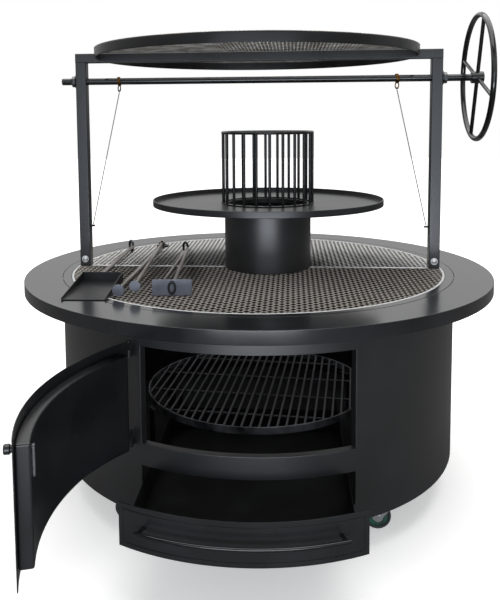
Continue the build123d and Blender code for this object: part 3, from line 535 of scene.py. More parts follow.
def surface(
    name,
    first,
    second,
    patch_mm,
    grain_mm,
    rough,
    bump,
    metal=0.0,
    shine=0.5,
    top_shading=None,
    rows=None,
    stretch=(1, 1, 1),
):
    """Material that drifts between two colours and two roughnesses, with a fine grain in its relief.

    A crest, the top shading, is (low, high, colour): the colour that rises over a band of heights, painted light
    and shade along the tops of strands and bars.
    Rows is the pitch along X of the places where strands meet, and the crest is dimmer there, which paints columns
    of shade.
    """
    material = bpy.data.materials.get(name)
    if material:
        return material
    material = bpy.data.materials.new(name)
    tree = empty_tree(material)
    coords = node(tree, "ShaderNodeTexCoord").outputs["Object"]
    along = node(tree, "ShaderNodeMapping", {"Scale": stretch}, {"Vector": coords}).outputs["Vector"]
    patch, grain = (
        node(tree, "ShaderNodeTexNoise", {"Scale": 1 / (pitch * MM)}, {"Vector": along}).outputs["Fac"]
        for pitch in (patch_mm, grain_mm)
    )
    spread = node(tree, "ShaderNodeMapRange", {"From Min": 0.35, "From Max": 0.65}, {"Value": patch})
    tint = node(
        tree,
        "ShaderNodeMix",
        {COLOUR_A: tone(first), COLOUR_B: tone(second)},
        {FACTOR: spread.outputs["Result"]},
        data_type="RGBA",
    ).outputs[COLOUR_OUT]
    # Painted light and shade: a colour that rises with height along the tops of strands and bars.
    if top_shading:
        bottom, top, top_shading_tone = top_shading
        place = node(tree, "ShaderNodeSeparateXYZ", links={"Vector": coords}).outputs
        rise = node(
            tree, "ShaderNodeMapRange", {"From Min": bottom, "From Max": top}, {"Value": place["Z"]}
        ).outputs["Result"]
        # Painted shade in columns: the top colour is dimmed where strands meet.
        if rows:
            off = node(tree, "ShaderNodeMath", {1: rows / 2}, {0: place["X"]}, operation="PINGPONG")
            near = node(
                tree,
                "ShaderNodeMapRange",
                {"From Min": rows * 0.12, "From Max": rows * 0.38, "To Min": 0.35},
                {"Value": off.outputs[0]},
            ).outputs["Result"]
            rise = node(tree, "ShaderNodeMath", {}, {0: rise, 1: near}, operation="MULTIPLY").outputs[0]
        tint = node(
            tree,
            "ShaderNodeMix",
            {COLOUR_B: tone(top_shading_tone)},
            {FACTOR: rise, COLOUR_A: tint},
            data_type="RGBA",
        ).outputs[COLOUR_OUT]
    matt = node(tree, "ShaderNodeMapRange", {"To Min": rough[0], "To Max": rough[1]}, {"Value": patch})
    relief = node(tree, "ShaderNodeBump", {"Strength": bump, "Distance": GRAIN_RELIEF}, {"Height": grain})
    shader = node(
        tree,
        "ShaderNodeBsdfPrincipled",
        {"Metallic": metal, "Specular IOR Level": shine},
        {"Base Color": tint, "Roughness": matt.outputs["Result"], "Normal": relief.outputs["Normal"]},
    )
    node(tree, "ShaderNodeOutputMaterial", links={"Surface": shader.outputs["BSDF"]})
    return material


def black_paint():
    """Satin black paint sprayed on steel: a soft clear sheen with a fine orange peel."""
    return surface(
        "satin_black_paint", "paint", "paint_worn",
        patch_mm=160, grain_mm=1.6, rough=(0.24, 0.32), bump=0.04,
    )


def table_paint():
    """Smoother satin black on the table, in which what stands above it shows softly."""
    return surface(
        "smooth_black_paint", "paint", "paint_worn",
        patch_mm=160, grain_mm=1.6, rough=(0.14, 0.21), bump=0.03,
    )


def tool_paint():
    """Blackened sheet of the fire tools: dull and even."""
    return surface(
        "blackened_tool_sheet", "paint", "paint_worn",
        patch_mm=60, grain_mm=1.6, rough=(0.36, 0.46), bump=0.1, shine=0.3,
    )


def heat_paint():
    """Heat-proof black paint on rolled sheet: nearly matt, so that a light spreads into a wide soft band."""
    return surface(
        "heat_proof_paint", "paint", "paint_worn",
        patch_mm=200, grain_mm=1.8, rough=(0.34, 0.44), bump=0.05, shine=0.7,
    )


def gloss_paint():
    """Gloss black enamel on turned rod: deep, with thin bright highlights."""
    return surface(
        "gloss_black_enamel", "soot", "paint",
        patch_mm=120, grain_mm=2.5, rough=(0.10, 0.18), bump=0.05,
    )


def deep_paint():
    """Darker satin black on the upper grate's band and the fire basket."""
    return surface(
        "deep_black_paint", "soot", "paint",
        patch_mm=160, grain_mm=1.6, rough=(0.22, 0.3), bump=0.04, shine=0.35,
    )


def sooted_sheet():
    """Plain sheet steel darkened by smoke: dull, with soft smears."""
    return surface(
        "sooted_sheet_steel", "soot", "paint",
        patch_mm=90, grain_mm=3.0, rough=(0.6, 0.8), bump=0.15, shine=0.12,
    )


def oiled_plate():
    """Black oiled steel plate: satin, with slow changes of gloss."""
    return surface(
        "oiled_steel_plate", "paint", "paint_worn",
        patch_mm=110, grain_mm=2.0, rough=(0.3, 0.38), bump=0.02,
    )


def net(name, first, second, patch_mm, rough, top_shading, rows):
    """Bare expanded steel, with painted light and shade along the tops of its strands."""
    return surface(
        name, first, second, patch_mm,
        grain_mm=2.0, rough=rough, bump=0.3, metal=0.8, top_shading=top_shading, rows=rows,
    )


def cooking_net():
    """Expanded steel over the fire: a painted highlight along the strand tops in the bare steel's pale colour,
    painted shade in columns where strands meet, and sides browned in places by the heat.
    """
    top = high("mesh_back").z
    # Painted highlight along the strand tops.
    top_shading = (top - 0.0038, top - 0.0008, "mesh")
    # Columns of painted shade where strands meet.
    rows = sizes().diamond_width / 2
    return net("expanded_steel", "mesh_dark", "mesh_dull", 70, (0.3, 0.45), top_shading, rows)


def clean_net():
    """Expanded steel further from the fire: a painted highlight along the strand tops in pale bright steel,
    painted shade in columns where strands meet, and plain grey on its sides.
    """
    top = high("mesh_back").z
    # Painted highlight along the strand tops.
    top_shading = (top - 0.0038, top - 0.0008, "bright")
    # Columns of painted shade where strands meet.
    rows = sizes().diamond_width / 2
    return net("clean_expanded_steel", "mesh_dull", "wire", 70, (0.3, 0.45), top_shading, rows)


def upper_net():
    """The upper grate's expanded steel, with brighter patches on its sides: an even dull grey is painted along the
    strand tops and fades in columns where strands meet, painting stripes of light and shade.
    """
    top = high("upper_grate_mesh").z
    # Painted dull band along the strand tops.
    top_shading = (top - 0.0024, top - 0.0004, "tool")
    # Columns of painted light and shade where strands meet.
    rows = sizes().diamond_width * UPPER_FINENESS / 2
    return net("upper_expanded_steel", "tool", "bright", 40, (0.3, 0.5), top_shading, rows)


def rim_steel():
    """Sheared edge of the cooking mesh: pale, broken up by the cut ends of strands."""
    return surface(
        "sheared_rim_steel", "zinc", "bright",
        patch_mm=9, grain_mm=1.5, rough=(0.35, 0.5), bump=0.3, metal=0.35,
    )


def bright_steel():
    """Bare ground steel: fine brush lines and a clear shine."""
    return surface(
        "ground_steel", "bright", "zinc",
        patch_mm=40, grain_mm=1.2, rough=(0.18, 0.3), bump=0.15, metal=1.0, stretch=(1, 14, 1),
    )


def zinc_plate():
    """Zinc plated steel: pale and slightly cloudy."""
    return surface(
        "zinc_plated_steel", "zinc", "bright",
        patch_mm=12, grain_mm=1.5, rough=(0.25, 0.4), bump=0.1, metal=1.0,
    )


def dulled_plate():
    """Plating dulled by smoke: dark grey and satin."""
    return surface(
        "smoked_plating", "band", "bar_highlight_grey",
        patch_mm=30, grain_mm=1.5, rough=(0.4, 0.5), bump=0.1, metal=0.3,
    )


def cast_alloy():
    """Cast alloy hub: pale grey and even."""
    return surface(
        "cast_alloy_hub", "zinc", "bright",
        patch_mm=12, grain_mm=1.5, rough=(0.4, 0.5), bump=0.1, metal=0.3,
    )


def drawn_wire():
    """Drawn steel wire: plain grey with a soft shine."""
    return surface(
        "drawn_steel_wire", "wire", "tool",
        patch_mm=30, grain_mm=1.5, rough=(0.3, 0.4), bump=0.1, metal=0.9,
    )


def worn_brass():
    """Worn brass: warm, with duller brown patches."""
    return surface(
        "worn_brass", "brass", "mesh_dark",
        patch_mm=14, grain_mm=1.5, rough=(0.3, 0.45), bump=0.15, metal=1.0,
    )


def bar_steel():
    """Hot rolled bar: near black, with a painted highlight in pale grey along the tops."""
    top = high("charcoal_bars").z
    # Painted highlight along the bar tops.
    top_shading = (top - 0.006, top, "bar_highlight_grey")
    return surface(
        "hot_rolled_bar", "bar", "paint_worn",
        patch_mm=25, grain_mm=2.0, rough=(0.4, 0.6), bump=0.25, metal=0.3, top_shading=top_shading,
    )


def band_steel():
    """Cold rolled flat band: dark grey, smoother than the bars."""
    return surface(
        "rolled_flat_band", "band", "bar",
        patch_mm=60, grain_mm=2.0, rough=(0.3, 0.42), bump=0.12, metal=0.3,
    )


def caster_rubber():
    """Moulded rubber tread: matt, faintly green black."""
    return surface(
        "moulded_rubber", "rubber", "bar",
        patch_mm=20, grain_mm=1.5, rough=(0.55, 0.75), bump=0.3,
    )


def green_web():
    """Moulded green plastic: even, with a soft shine."""
    return surface(
        "green_moulded_web", "web", "rubber",
        patch_mm=60, grain_mm=1.5, rough=(0.35, 0.5), bump=0.1,
    )


def tool_steel():
    """Bare drawn rod: dull grey-brown with lengthwise streaks."""
    return surface(
        "drawn_tool_rod", "tool", "mesh_dark",
        patch_mm=25, grain_mm=1.5, rough=(0.26, 0.4), bump=0.2, metal=0.9, stretch=(1, 0.1, 1),
    )


def blade_steel():
    """Scaled sheet steel: blue-grey and satin."""
    return surface(
        "blue_scaled_steel", "blade", "blade_worn",
        patch_mm=30, grain_mm=1.6, rough=(0.35, 0.5), bump=0.12, metal=0.25,
    )


FINISH_OF_SLOT = {
    "black_steel": black_paint,
    "inner_steel": sooted_sheet,
    "plate_steel": oiled_plate,
    "mesh_steel": cooking_net,
    "bearer_steel": bright_steel,
    "zinc": zinc_plate,
    "wire_steel": drawn_wire,
    "brass": worn_brass,
    "grate_steel": bar_steel,
    "tyre": caster_rubber,
    "tool_steel": tool_steel,
    "blade_steel": blade_steel,
}

FINISH_OF_NODE = {"latch_lever": dulled_plate}


class GRILL_OT_finishes(bpy.types.Operator):
    """Gives every CAD node its own finish or else that of its material slot"""

    bl_idname = "grill.finishes"
    bl_label = "Finishes"

    def execute(self, context):
        for part in frame["record"]["subparts"]:
            piece = frame["nodes"][part["node"]]
            piece.data.materials.clear()
            finish = FINISH_OF_NODE.get(part["node"], FINISH_OF_SLOT[part["material_slot"]])
            piece.data.materials.append(finish())
        return {"FINISHED"}


# Sheet sizes in metres, and the drum's openings: half their width in degrees and their heights.
SHEET = 0.004
WALL = 0.003
OPENING = 26.5
DOOR_SILL = 0.306
DOOR_HEAD = 0.570
DRAWER_SILL = 0.154
DRAWER_HEAD = 0.245
FRAME_DEPTH = 0.020
DRUM = high("top_collar").x


class GRILL_OT_table(bpy.types.Operator):
    """Builds the table ring with its turned-down apron and the collar that seats the mesh"""

    bl_idname = "grill.table"
    bl_label = "Table"

    def execute(self, context):
        top = high("table_ring").z
        rim = high("table_ring").x - SHEET / 2
        middle = top - SHEET / 2
        seam = 0.001
        points = [(DRUM + seam, middle), (rim, middle), (rim, low("table_ring").z)]
        ring = turned_sheet(points, SHEET, sizes().fold_edge)
        strip = 0.001
        strip_in = DRUM + 0.0002
        strip_out = DRUM + 0.008
        under = top - SHEET - strip / 2
        backing = turned_sheet([(strip_in, under), (strip_out, under)], strip, edge=0.0003)
        ring = joined([ring, backing])
        finished(ring, "table_sheet", "drum", table_paint(), ["table_ring"])
        ledge = 0.024
        seat_width = 0.016
        web = DRUM - ledge
        seat = low("top_collar").z + SHEET / 2
        collar = turned_sheet([(DRUM, middle), (web, middle), (web, seat), (web - seat_width, seat)], SHEET)
        finished(collar, "mesh_seat", "drum", table_paint(), ["top_collar"])
        return {"FINISHED"}


class GRILL_OT_drum(bpy.types.Operator):
    """Builds the rolled drum with its door opening, drawer opening and the flanges in the door opening"""

    bl_idname = "grill.drum"
    bl_label = "Drum"

    def execute(self, context):
        middle = DRUM - WALL / 2
        shell = full_spin([(middle, low("drum_shell").z), (middle, high("drum_shell").z)])
        levels = [((0, 0, z), (0, 0, 1)) for z in (DOOR_SILL, DOOR_HEAD, DRAWER_SILL, DRAWER_HEAD)]
        jambs = [((0, 0, 0), heading(angle + 90)) for angle in (-OPENING, OPENING)]
        shell = sliced(shell, levels + jambs)

        def in_opening(point):
            door = DOOR_SILL < point.z < DOOR_HEAD
            drawer = DRAWER_SILL < point.z < DRAWER_HEAD
            return abs(bearing(point)) < OPENING and (door or drawer)

        edge = sizes().sheet_edge
        shell = thickened(opened(shell, in_opening), WALL, edge)
        inner = DRUM - WALL
        deep = inner - FRAME_DEPTH
        reach = OPENING + degrees(WALL / inner)
        flanges = [
            turned_solid(deep, inner, bottom, top, start, end, edge)
            for bottom, top, start, end in (
                (DOOR_SILL - WALL, DOOR_SILL, -reach, reach),
                (DOOR_HEAD, DOOR_HEAD + WALL, -reach, reach),
                (DOOR_SILL, DOOR_HEAD, -reach, -OPENING),
                (DOOR_SILL, DOOR_HEAD, OPENING, reach),
            )
        ]
        piece = joined([shell, *flanges])
        finished(piece, "drum_wall", "drum", heat_paint(), ["drum_shell"])
        lined(piece, sooted_sheet())
        return {"FINISHED"}


class GRILL_OT_charcoal_grate(bpy.types.Operator):
    """Builds the round bar grate that carries the charcoal"""

    bl_idname = "grill.charcoal_grate"
    bl_label = "Charcoal Grate"

    def execute(self, context):
        top = high("charcoal_band").z
        wall = 0.006
        inner = high("charcoal_band").x - wall
        middle = inner + wall / 2
        band = turned_sheet([(middle, low("charcoal_band").z), (middle, top)], wall)
        finished(band, "charcoal_hoop", "drum", band_steel(), ["charcoal_band"])
        radius = 0.0037
        sides = 14
        level = top - radius
        pitch = 0.026
        each_side = 13
        cross_level = level - 2 * radius
        cross_pitch = 0.165
        bars = []
        for i in range(-each_side, each_side + 1):
            x = i * pitch
            reach = sqrt(inner**2 - x**2)
            bars.append(bar((x, -reach, level), (x, reach, level), radius, sides))
        for i in (-1.5, -0.5, 0.5, 1.5):
            y = i * cross_pitch
            reach = sqrt(inner**2 - y**2)
            bars.append(bar((-reach, y, cross_level), (reach, y, cross_level), radius, sides))
        piece = swung(joined(bars), angle=-5.0)
        finished(piece, "charcoal_rods", "drum", bar_steel(), ["charcoal_bars"])
        return {"FINISHED"}


class GRILL_OT_cooking_mesh(bpy.types.Operator):
    """Builds the two expanded metal halves of the cooking surface and the bright plates at its ends"""

    bl_idname = "grill.cooking_mesh"
    bl_label = "Cooking Mesh"

    def execute(self, context):
        for name, turn, finish in (("mesh_back", 180, clean_net), ("mesh_front", 0, cooking_net)):
            piece = swung(self.half(), turn)
            finished(piece, f"{name}_net", "drum", finish(), [name], smooth=30)
            piece = swung(self.rim(), turn)
            finished(piece, f"{name}_rim", "drum", rim_steel())
        for name, turn in (("bearer_plate_right", 0), ("bearer_plate_left", 180)):
            piece = swung(self.end_plate(), turn)
            finished(piece, f"{name}_sheet", "drum", bright_steel(), [name])
        return {"FINISHED"}

    def half(self):
        """The half towards -Y, trimmed to its arc, its two ends and its split edge."""
        band = sizes().net_band
        height = sizes().cooking_strand
        rim = high("mesh_back").y
        split = low("mesh_back").y
        sweep = degrees(acos(split / rim))
        trims = round_trims(rim - band / 2, -sweep, sweep, count=90)
        trims.append(((0, -split - band / 3, 0), (0, 1, 0)))
        sunk = 0.0003
        level = high("mesh_back").z - height / 2 - sunk
        return expanded_sheet(2 * rim, rim, (0, -rim / 2), trims, level, height)

    def rim(self):
        """Bright flat edge of the half towards -Y: its arc and its split edge."""
        width = sizes().net_band
        edge = 0.0012
        top = high("mesh_back").z
        bottom = top - sizes().cooking_strand
        outer = high("mesh_back").y
        inner = outer - width
        split = low("mesh_back").y
        sweep = degrees(acos(split / outer))
        band = turned_solid(inner, outer, bottom, top, -sweep, sweep, edge)
        bead = block((-inner, -split - width * 2 / 3, bottom), (inner, -split, top), edge, segments=2)
        return joined([band, bead])

    def end_plate(self):
        """Plate under the mesh's end towards +X: a slice of a disc, with the stub in the post's foot."""
        start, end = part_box("bearer_plate_right")
        gap = 0.0006
        top = high("mesh_back").z - sizes().cooking_strand - gap
        thickness = top - start.z
        deselect()
        bpy.ops.mesh.primitive_cylinder_add(
            vertices=240, radius=end.x, depth=thickness, location=(0, 0, top - thickness / 2)
        )
        plate = bevel(cut_off(settle(), (start.x, 0, 0), (-1, 0, 0)), width=0.0008)
        inset = 0.025
        middle = end.x - inset
        half = 0.0143
        rooted = 0.001
        stub = block((middle - half, -half, top - rooted), (middle + half, half, end.z), edge=0.001)
        return joined([plate, stub])


class GRILL_OT_gallows(bpy.types.Operator):
    """Builds the square tube posts, the crossbar, the domed bolts and the shaft's washers"""

    bl_idname = "grill.gallows"
    bl_label = "Gallows"

    def execute(self, context):
        radius = sizes().tube_edge
        start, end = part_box("crossbar")
        width = end.y - start.y
        level = middle_of("crossbar").z
        shaft = middle_of("winch_shaft").z
        peg_level = 0.806
        peg_length = 0.014
        washer = 0.004
        bolts = []
        washers = []
        for sign, side in ((-1, "left"), (1, "right")):
            x = sign * (end.x - width / 2)
            inside = x - sign * width / 2
            outside = x + sign * width / 2
            tube = square_tube((x, 0, low(f"post_{side}").z), (x, 0, start.z), width, width, radius)
            peg = bar((inside, 0, peg_level), (inside - sign * peg_length, 0, peg_level), radius=0.0035)
            post = joined([tube, peg])
            finished(post, f"post_tube_{side}", "drum", black_paint(), [f"post_{side}"])
            bolts += self.bolt(x, width / 2)
            for face, reach, sides in ((outside, 0.022, 40), (inside, 0.0148, 32)):
                washers.append(bar((face, 0, shaft), (face + sign * washer, 0, shaft), reach, sides))
        finished(joined(bolts), "domed_bolts", "drum", zinc_plate(), ["post_bolts"])
        finished(joined(washers), "shaft_washers", "drum", black_paint(), ["shaft_bushes"])
        beam = square_tube((start.x, 0, level), (end.x, 0, level), width, extent("crossbar").z, radius)
        finished(beam, "crossbar_tube", "drum", black_paint(), ["crossbar"])
        return {"FINISHED"}

    def bolt(self, x, half):
        """Domed head with its washer at the front and a nut at the back of a post's foot."""
        z = 0.694
        washer = 0.0014
        nut_height = 0.006
        return [
            dome((x, -half - washer, z), radius=0.0092, height=0.0045, back=-half),
            bar((x, -half, z), (x, -half - washer, z), radius=0.0115, sides=32, edge=0.0004),
            nut((x, half, z), (x, half + nut_height, z), radius=0.0100),
        ]


class GRILL_OT_winch(bpy.types.Operator):
    """Builds the shaft, its nuts, the handwheel and the brass hooks"""

    bl_idname = "grill.winch"
    bl_label = "Winch"

    def execute(self, context):
        start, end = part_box("winch_shaft")
        z = middle_of("winch_shaft").z
        shaft = bar((start.x, 0, z), (end.x, 0, z), radius=0.011, sides=32, edge=0.0015)
        finished(shaft, "winch_rod", "winch", gloss_paint(), ["winch_shaft"])
        nut_height = 0.011
        nuts = []
        for outer in (low("stop_collars").x, high("stop_collars").x):
            inner = outer - nut_height if outer > 0 else outer + nut_height
            nuts.append(nut((inner, 0, z), (outer, 0, z), radius=0.018))
        finished(joined(nuts), "shaft_nuts", "winch", gloss_paint(), ["stop_collars"])
        self.handwheel(z)
        self.hooks(z)
        return {"FINISHED"}

    def handwheel(self, z):
        """Rim, hub and four round spokes."""
        middle = Vector((middle_of("handwheel_rim").x, 0, z))
        tube = extent("handwheel_rim").x / 2
        radius = extent("handwheel_rim").z / 2 - tube
        start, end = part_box("handwheel_spokes")
        pieces = [hoop(radius, tube, middle, (1, 0, 0), around=128, sides=20)]
        pieces.append(bar((start.x, 0, z), (end.x, 0, z), radius=0.019, sides=40, edge=0.002))
        root = 0.015
        first_turn = 20
        for i in range(4):
            angle = radians(first_turn + 90 * i)
            way = Vector((0, -sin(angle), cos(angle)))
            tip = middle + way * (radius - tube / 2)
            pieces.append(bar(middle + way * root, tip, radius=0.006, sides=20))
        replaced = ["handwheel_rim", "handwheel_spokes"]
        finished(joined(pieces), "handwheel", "winch", gloss_paint(), replaced)

    def hooks(self, z):
        """Two brass wire hooks: turns round the shaft and an eye under it."""
        wire = 0.0019
        coil = 0.0132
        pitch = 0.003
        half_width = 0.0115
        reach = high("wire_hooks").x - half_width
        drop = 0.0225
        pieces = []
        for x in (-reach, reach):
            for shift in (-pitch, 0.0, pitch):
                centre = (x + shift, 0, z)
                pieces.append(hoop(coil, wire, centre, (1, 0.12, 0.1), around=40, sides=10))
            eye = (x, 0, z - drop)
            pieces.append(long_hoop(0.0062, wire, 1.6, eye, (0.6, 0.8, 0), around=32, sides=10))
        finished(joined(pieces), "brass_hooks", "winch", worn_brass(), ["wire_hooks"])


# Size of the upper grate's diamonds as a share of the cooking mesh's.
UPPER_FINENESS = 0.75


class GRILL_OT_upper_grate(bpy.types.Operator):
    """Builds the upper grate: its notched flat band and its expanded metal"""

    bl_idname = "grill.upper_grate"
    bl_label = "Upper Grate"

    def execute(self, context):
        start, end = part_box("upper_grate_band")
        wall = 0.005
        notch = 0.0195
        notch_top = low("upper_grate_mesh").z
        height = sizes().upper_strand
        middle = end.x - wall / 2
        tucked = height * 0.6
        band = full_spin([(middle, start.z), (middle, end.z - tucked)])
        planes = [((0, side * notch, 0), (0, 1, 0)) for side in (-1, 1)]
        planes.append(((0, 0, notch_top), (0, 0, 1)))
        band = sliced(band, planes)
        band = opened(band, lambda point: abs(point.y) < notch and point.z < notch_top)
        band = thickened(band, wall, sizes().sheet_edge)
        finished(band, "upper_grate_hoop", "upper_grate", deep_paint(), ["upper_grate_band"])
        inset = 0.001
        radius = end.x - inset
        trims = round_trims(radius, -180, 180, count=120)
        level = end.z - height / 2
        piece = expanded_sheet(2 * radius, 2 * radius, (0, 0), trims, level, height, UPPER_FINENESS)
        replaced = ["upper_grate_mesh"]
        finished(piece, "upper_grate_net", "upper_grate", upper_net(), replaced, smooth=30)
        return {"FINISHED"}


class GRILL_OT_fire_tower(bpy.types.Operator):
    """Builds the flue tube, the lipped plate and the fire basket on it"""

    bl_idname = "grill.fire_tower"
    bl_label = "Fire Tower"

    def execute(self, context):
        start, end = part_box("flue_tube")
        place = Vector((middle_of("flue_tube").x, middle_of("flue_tube").y, 0))
        radius = (end.x - start.x) / 2
        middle = radius - WALL / 2
        flue = moved(turned_sheet([(middle, start.z), (middle, end.z)], WALL), place)
        finished(flue, "flue_pipe", "flue", heat_paint(), ["flue_tube"])
        lined(flue, sooted_sheet(), place)
        hole = 0.132
        gap = 0.0003
        play = 0.0021
        rim = extent("fire_plate").x / 2 - SHEET / 2
        underside = end.z + gap
        level = underside + SHEET / 2
        points = [(hole, level), (rim, level), (rim, high("fire_plate").z)]
        dish = turned_sheet(points, SHEET, sizes().fold_edge)
        neck = radius - WALL - play
        spigot = turned_sheet([(neck, low("fire_plate").z), (neck, underside)], WALL)
        piece = moved(joined([dish, spigot]), place)
        finished(piece, "lipped_plate", "plate", oiled_plate(), ["fire_plate"])
        self.basket(place)
        return {"FINISHED"}

    def basket(self, place):
        """Basket: a foot ring, upright bars and a round rim."""
        wire = extent("basket_rim").z / 2
        radius = extent("basket_rim").x / 2 - wire
        foot = extent("basket_foot")
        width = foot.x / 2 - radius
        level = middle_of("basket_foot").z
        bottom = high("basket_foot").z
        top = middle_of("basket_rim").z
        base = turned_sheet([(radius - width, level), (radius + width, level)], foot.z)
        pieces = [base, hoop(radius, wire, (0, 0, top), (0, 0, 1), around=128, sides=16)]
        count = 22
        first_turn = 4.5
        for i in range(count):
            spot = heading(first_turn + 360 * i / count) * radius
            pieces.append(bar((spot.x, spot.y, bottom), (spot.x, spot.y, top), radius=0.0048, sides=18))
        replaced = ["basket_foot", "basket_rim", "basket_bars"]
        piece = moved(joined(pieces), place)
        finished(piece, "fire_basket", "basket", deep_paint(), replaced)


# Half the width in degrees of the door's skin and of the drawer's front.
FRONT_SWEEP = 27.8


class GRILL_OT_door(bpy.types.Operator):
    """Builds the curved door skin and the shallow box on its inside, swung open"""

    bl_idname = "grill.door"
    bl_label = "Door"

    def execute(self, context):
        gap = 0.0025
        skin_sheet = 0.0025
        skin_in = DRUM + gap
        skin_out = skin_in + skin_sheet
        bottom, top = low("door_skin").z, high("door_skin").z
        edge = sizes().sheet_edge
        skin = self.hung(turned_solid(skin_in, skin_out, bottom, top, -FRONT_SWEEP, FRONT_SWEEP, edge))
        finished(skin, "door_sheet", "door", black_paint(), ["door_skin"])
        box_depth = 0.030
        deep = skin_in - box_depth
        sweep = 25.2
        bottom, top = low("door_box").z, high("door_box").z
        tray = self.hung(turned_solid(deep, skin_in, bottom, top, -sweep, sweep, edge=0.005, segments=4))
        finished(tray, "door_lining", "door", black_paint(), ["door_box"])
        return {"FINISHED"}

    def hung(self, piece):
        """Swings a piece from the closed door's place to the open one, about the hinge."""
        open_angle = -97.5
        return swung(piece, open_angle, JOINTS["door_hinge"]["pos_m"])


class GRILL_OT_drawer(bpy.types.Operator):
    """Builds the drawer's curved front with its groove and the bar handle, pulled out"""

    bl_idname = "grill.drawer"
    bl_label = "Drawer"

    def execute(self, context):
        pulled = (0, -0.205, 0)
        gap = 0.002
        sheet = 0.003
        inner = DRUM + gap
        outer = inner + sheet
        bottom, top = low("drawer_front").z, high("drawer_front").z
        front = moved(self.grooved(inner, outer, bottom, top), pulled)
        finished(front, "drawer_face", "drawer", black_paint(), ["drawer_front"])
        raised = 0.008
        stand_off = 0.030
        level = (bottom + top) / 2 + raised
        reach = outer + stand_off
        up = Vector((0, 0, level))
        sunk = 0.002
        grip_end = 22
        post = 21.2
        pieces = [turned_bar(reach, level, radius=0.005, start=-grip_end, end=grip_end)]
        for angle in (-post, post):
            way = heading(angle)
            pieces.append(bar(way * outer + up, way * (reach - sunk) + up, radius=0.0045, sides=20))
        handle = moved(joined(pieces), pulled)
        finished(handle, "drawer_grip", "drawer", gloss_paint(), ["drawer_handle"])
        return {"FINISHED"}

    def grooved(self, inner, outer, bottom, top):
        """Curved plate with a narrow groove pressed in along its four edges."""
        points = [(inner, bottom), (outer, bottom), (outer, top), (inner, top)]
        front = spun_profile(points, -FRONT_SWEEP, FRONT_SWEEP, closed=True)
        groove = 0.0022
        far = 0.012
        near = far + groove
        skin = 0.001

        def sweep(inset):
            return FRONT_SWEEP - degrees(inset / outer)

        rows = [z for inset in (far, near) for z in (bottom + inset, top - inset)]
        turns = [side * sweep(inset) for inset in (far, near) for side in (-1, 1)]
        planes = [((0, 0, z), (0, 0, 1)) for z in rows]
        planes += [((0, 0, 0), heading(turn + 90)) for turn in turns]
        front = sliced(front, planes)

        def within(point, inset):
            return bottom + inset < point.z < top - inset and abs(bearing(point)) < sweep(inset)

        def in_groove(point):
            outside = hypot(point.x, point.y) > outer - skin
            return outside and within(point, far) and not within(point, near)

        pick_faces(front, in_groove)
        depth = -sizes().groove_depth
        bpy.ops.mesh.extrude_region_shrink_fatten(TRANSFORM_OT_shrink_fatten={"value": depth})
        return bevel(leave(), width=0.0004, segments=1, angle=60)


# The tools lie on the mesh at this height, and share their rods and rings.
TOOL_LEVEL = 0.6703
ROD = 0.006
RING = 0.019
RING_WIRE = 0.0045


def laid(piece, place, turn):
    """Lays a tool that was built along Y at its place on the mesh."""
    piece = swung(piece, turn)
    return moved(piece, (place[0], place[1], TOOL_LEVEL))


def end_ring(y, z):
    """Upright ring at the end of a tool's rod, turned a little off the rod's line."""
    turn = radians(30)
    gap = 0.0003
    centre = (-RING * sin(turn), y + gap + RING_WIRE + RING * cos(turn), z)
    return hoop(RING, RING_WIRE, centre, (cos(turn), sin(turn), 0), around=48, sides=12)


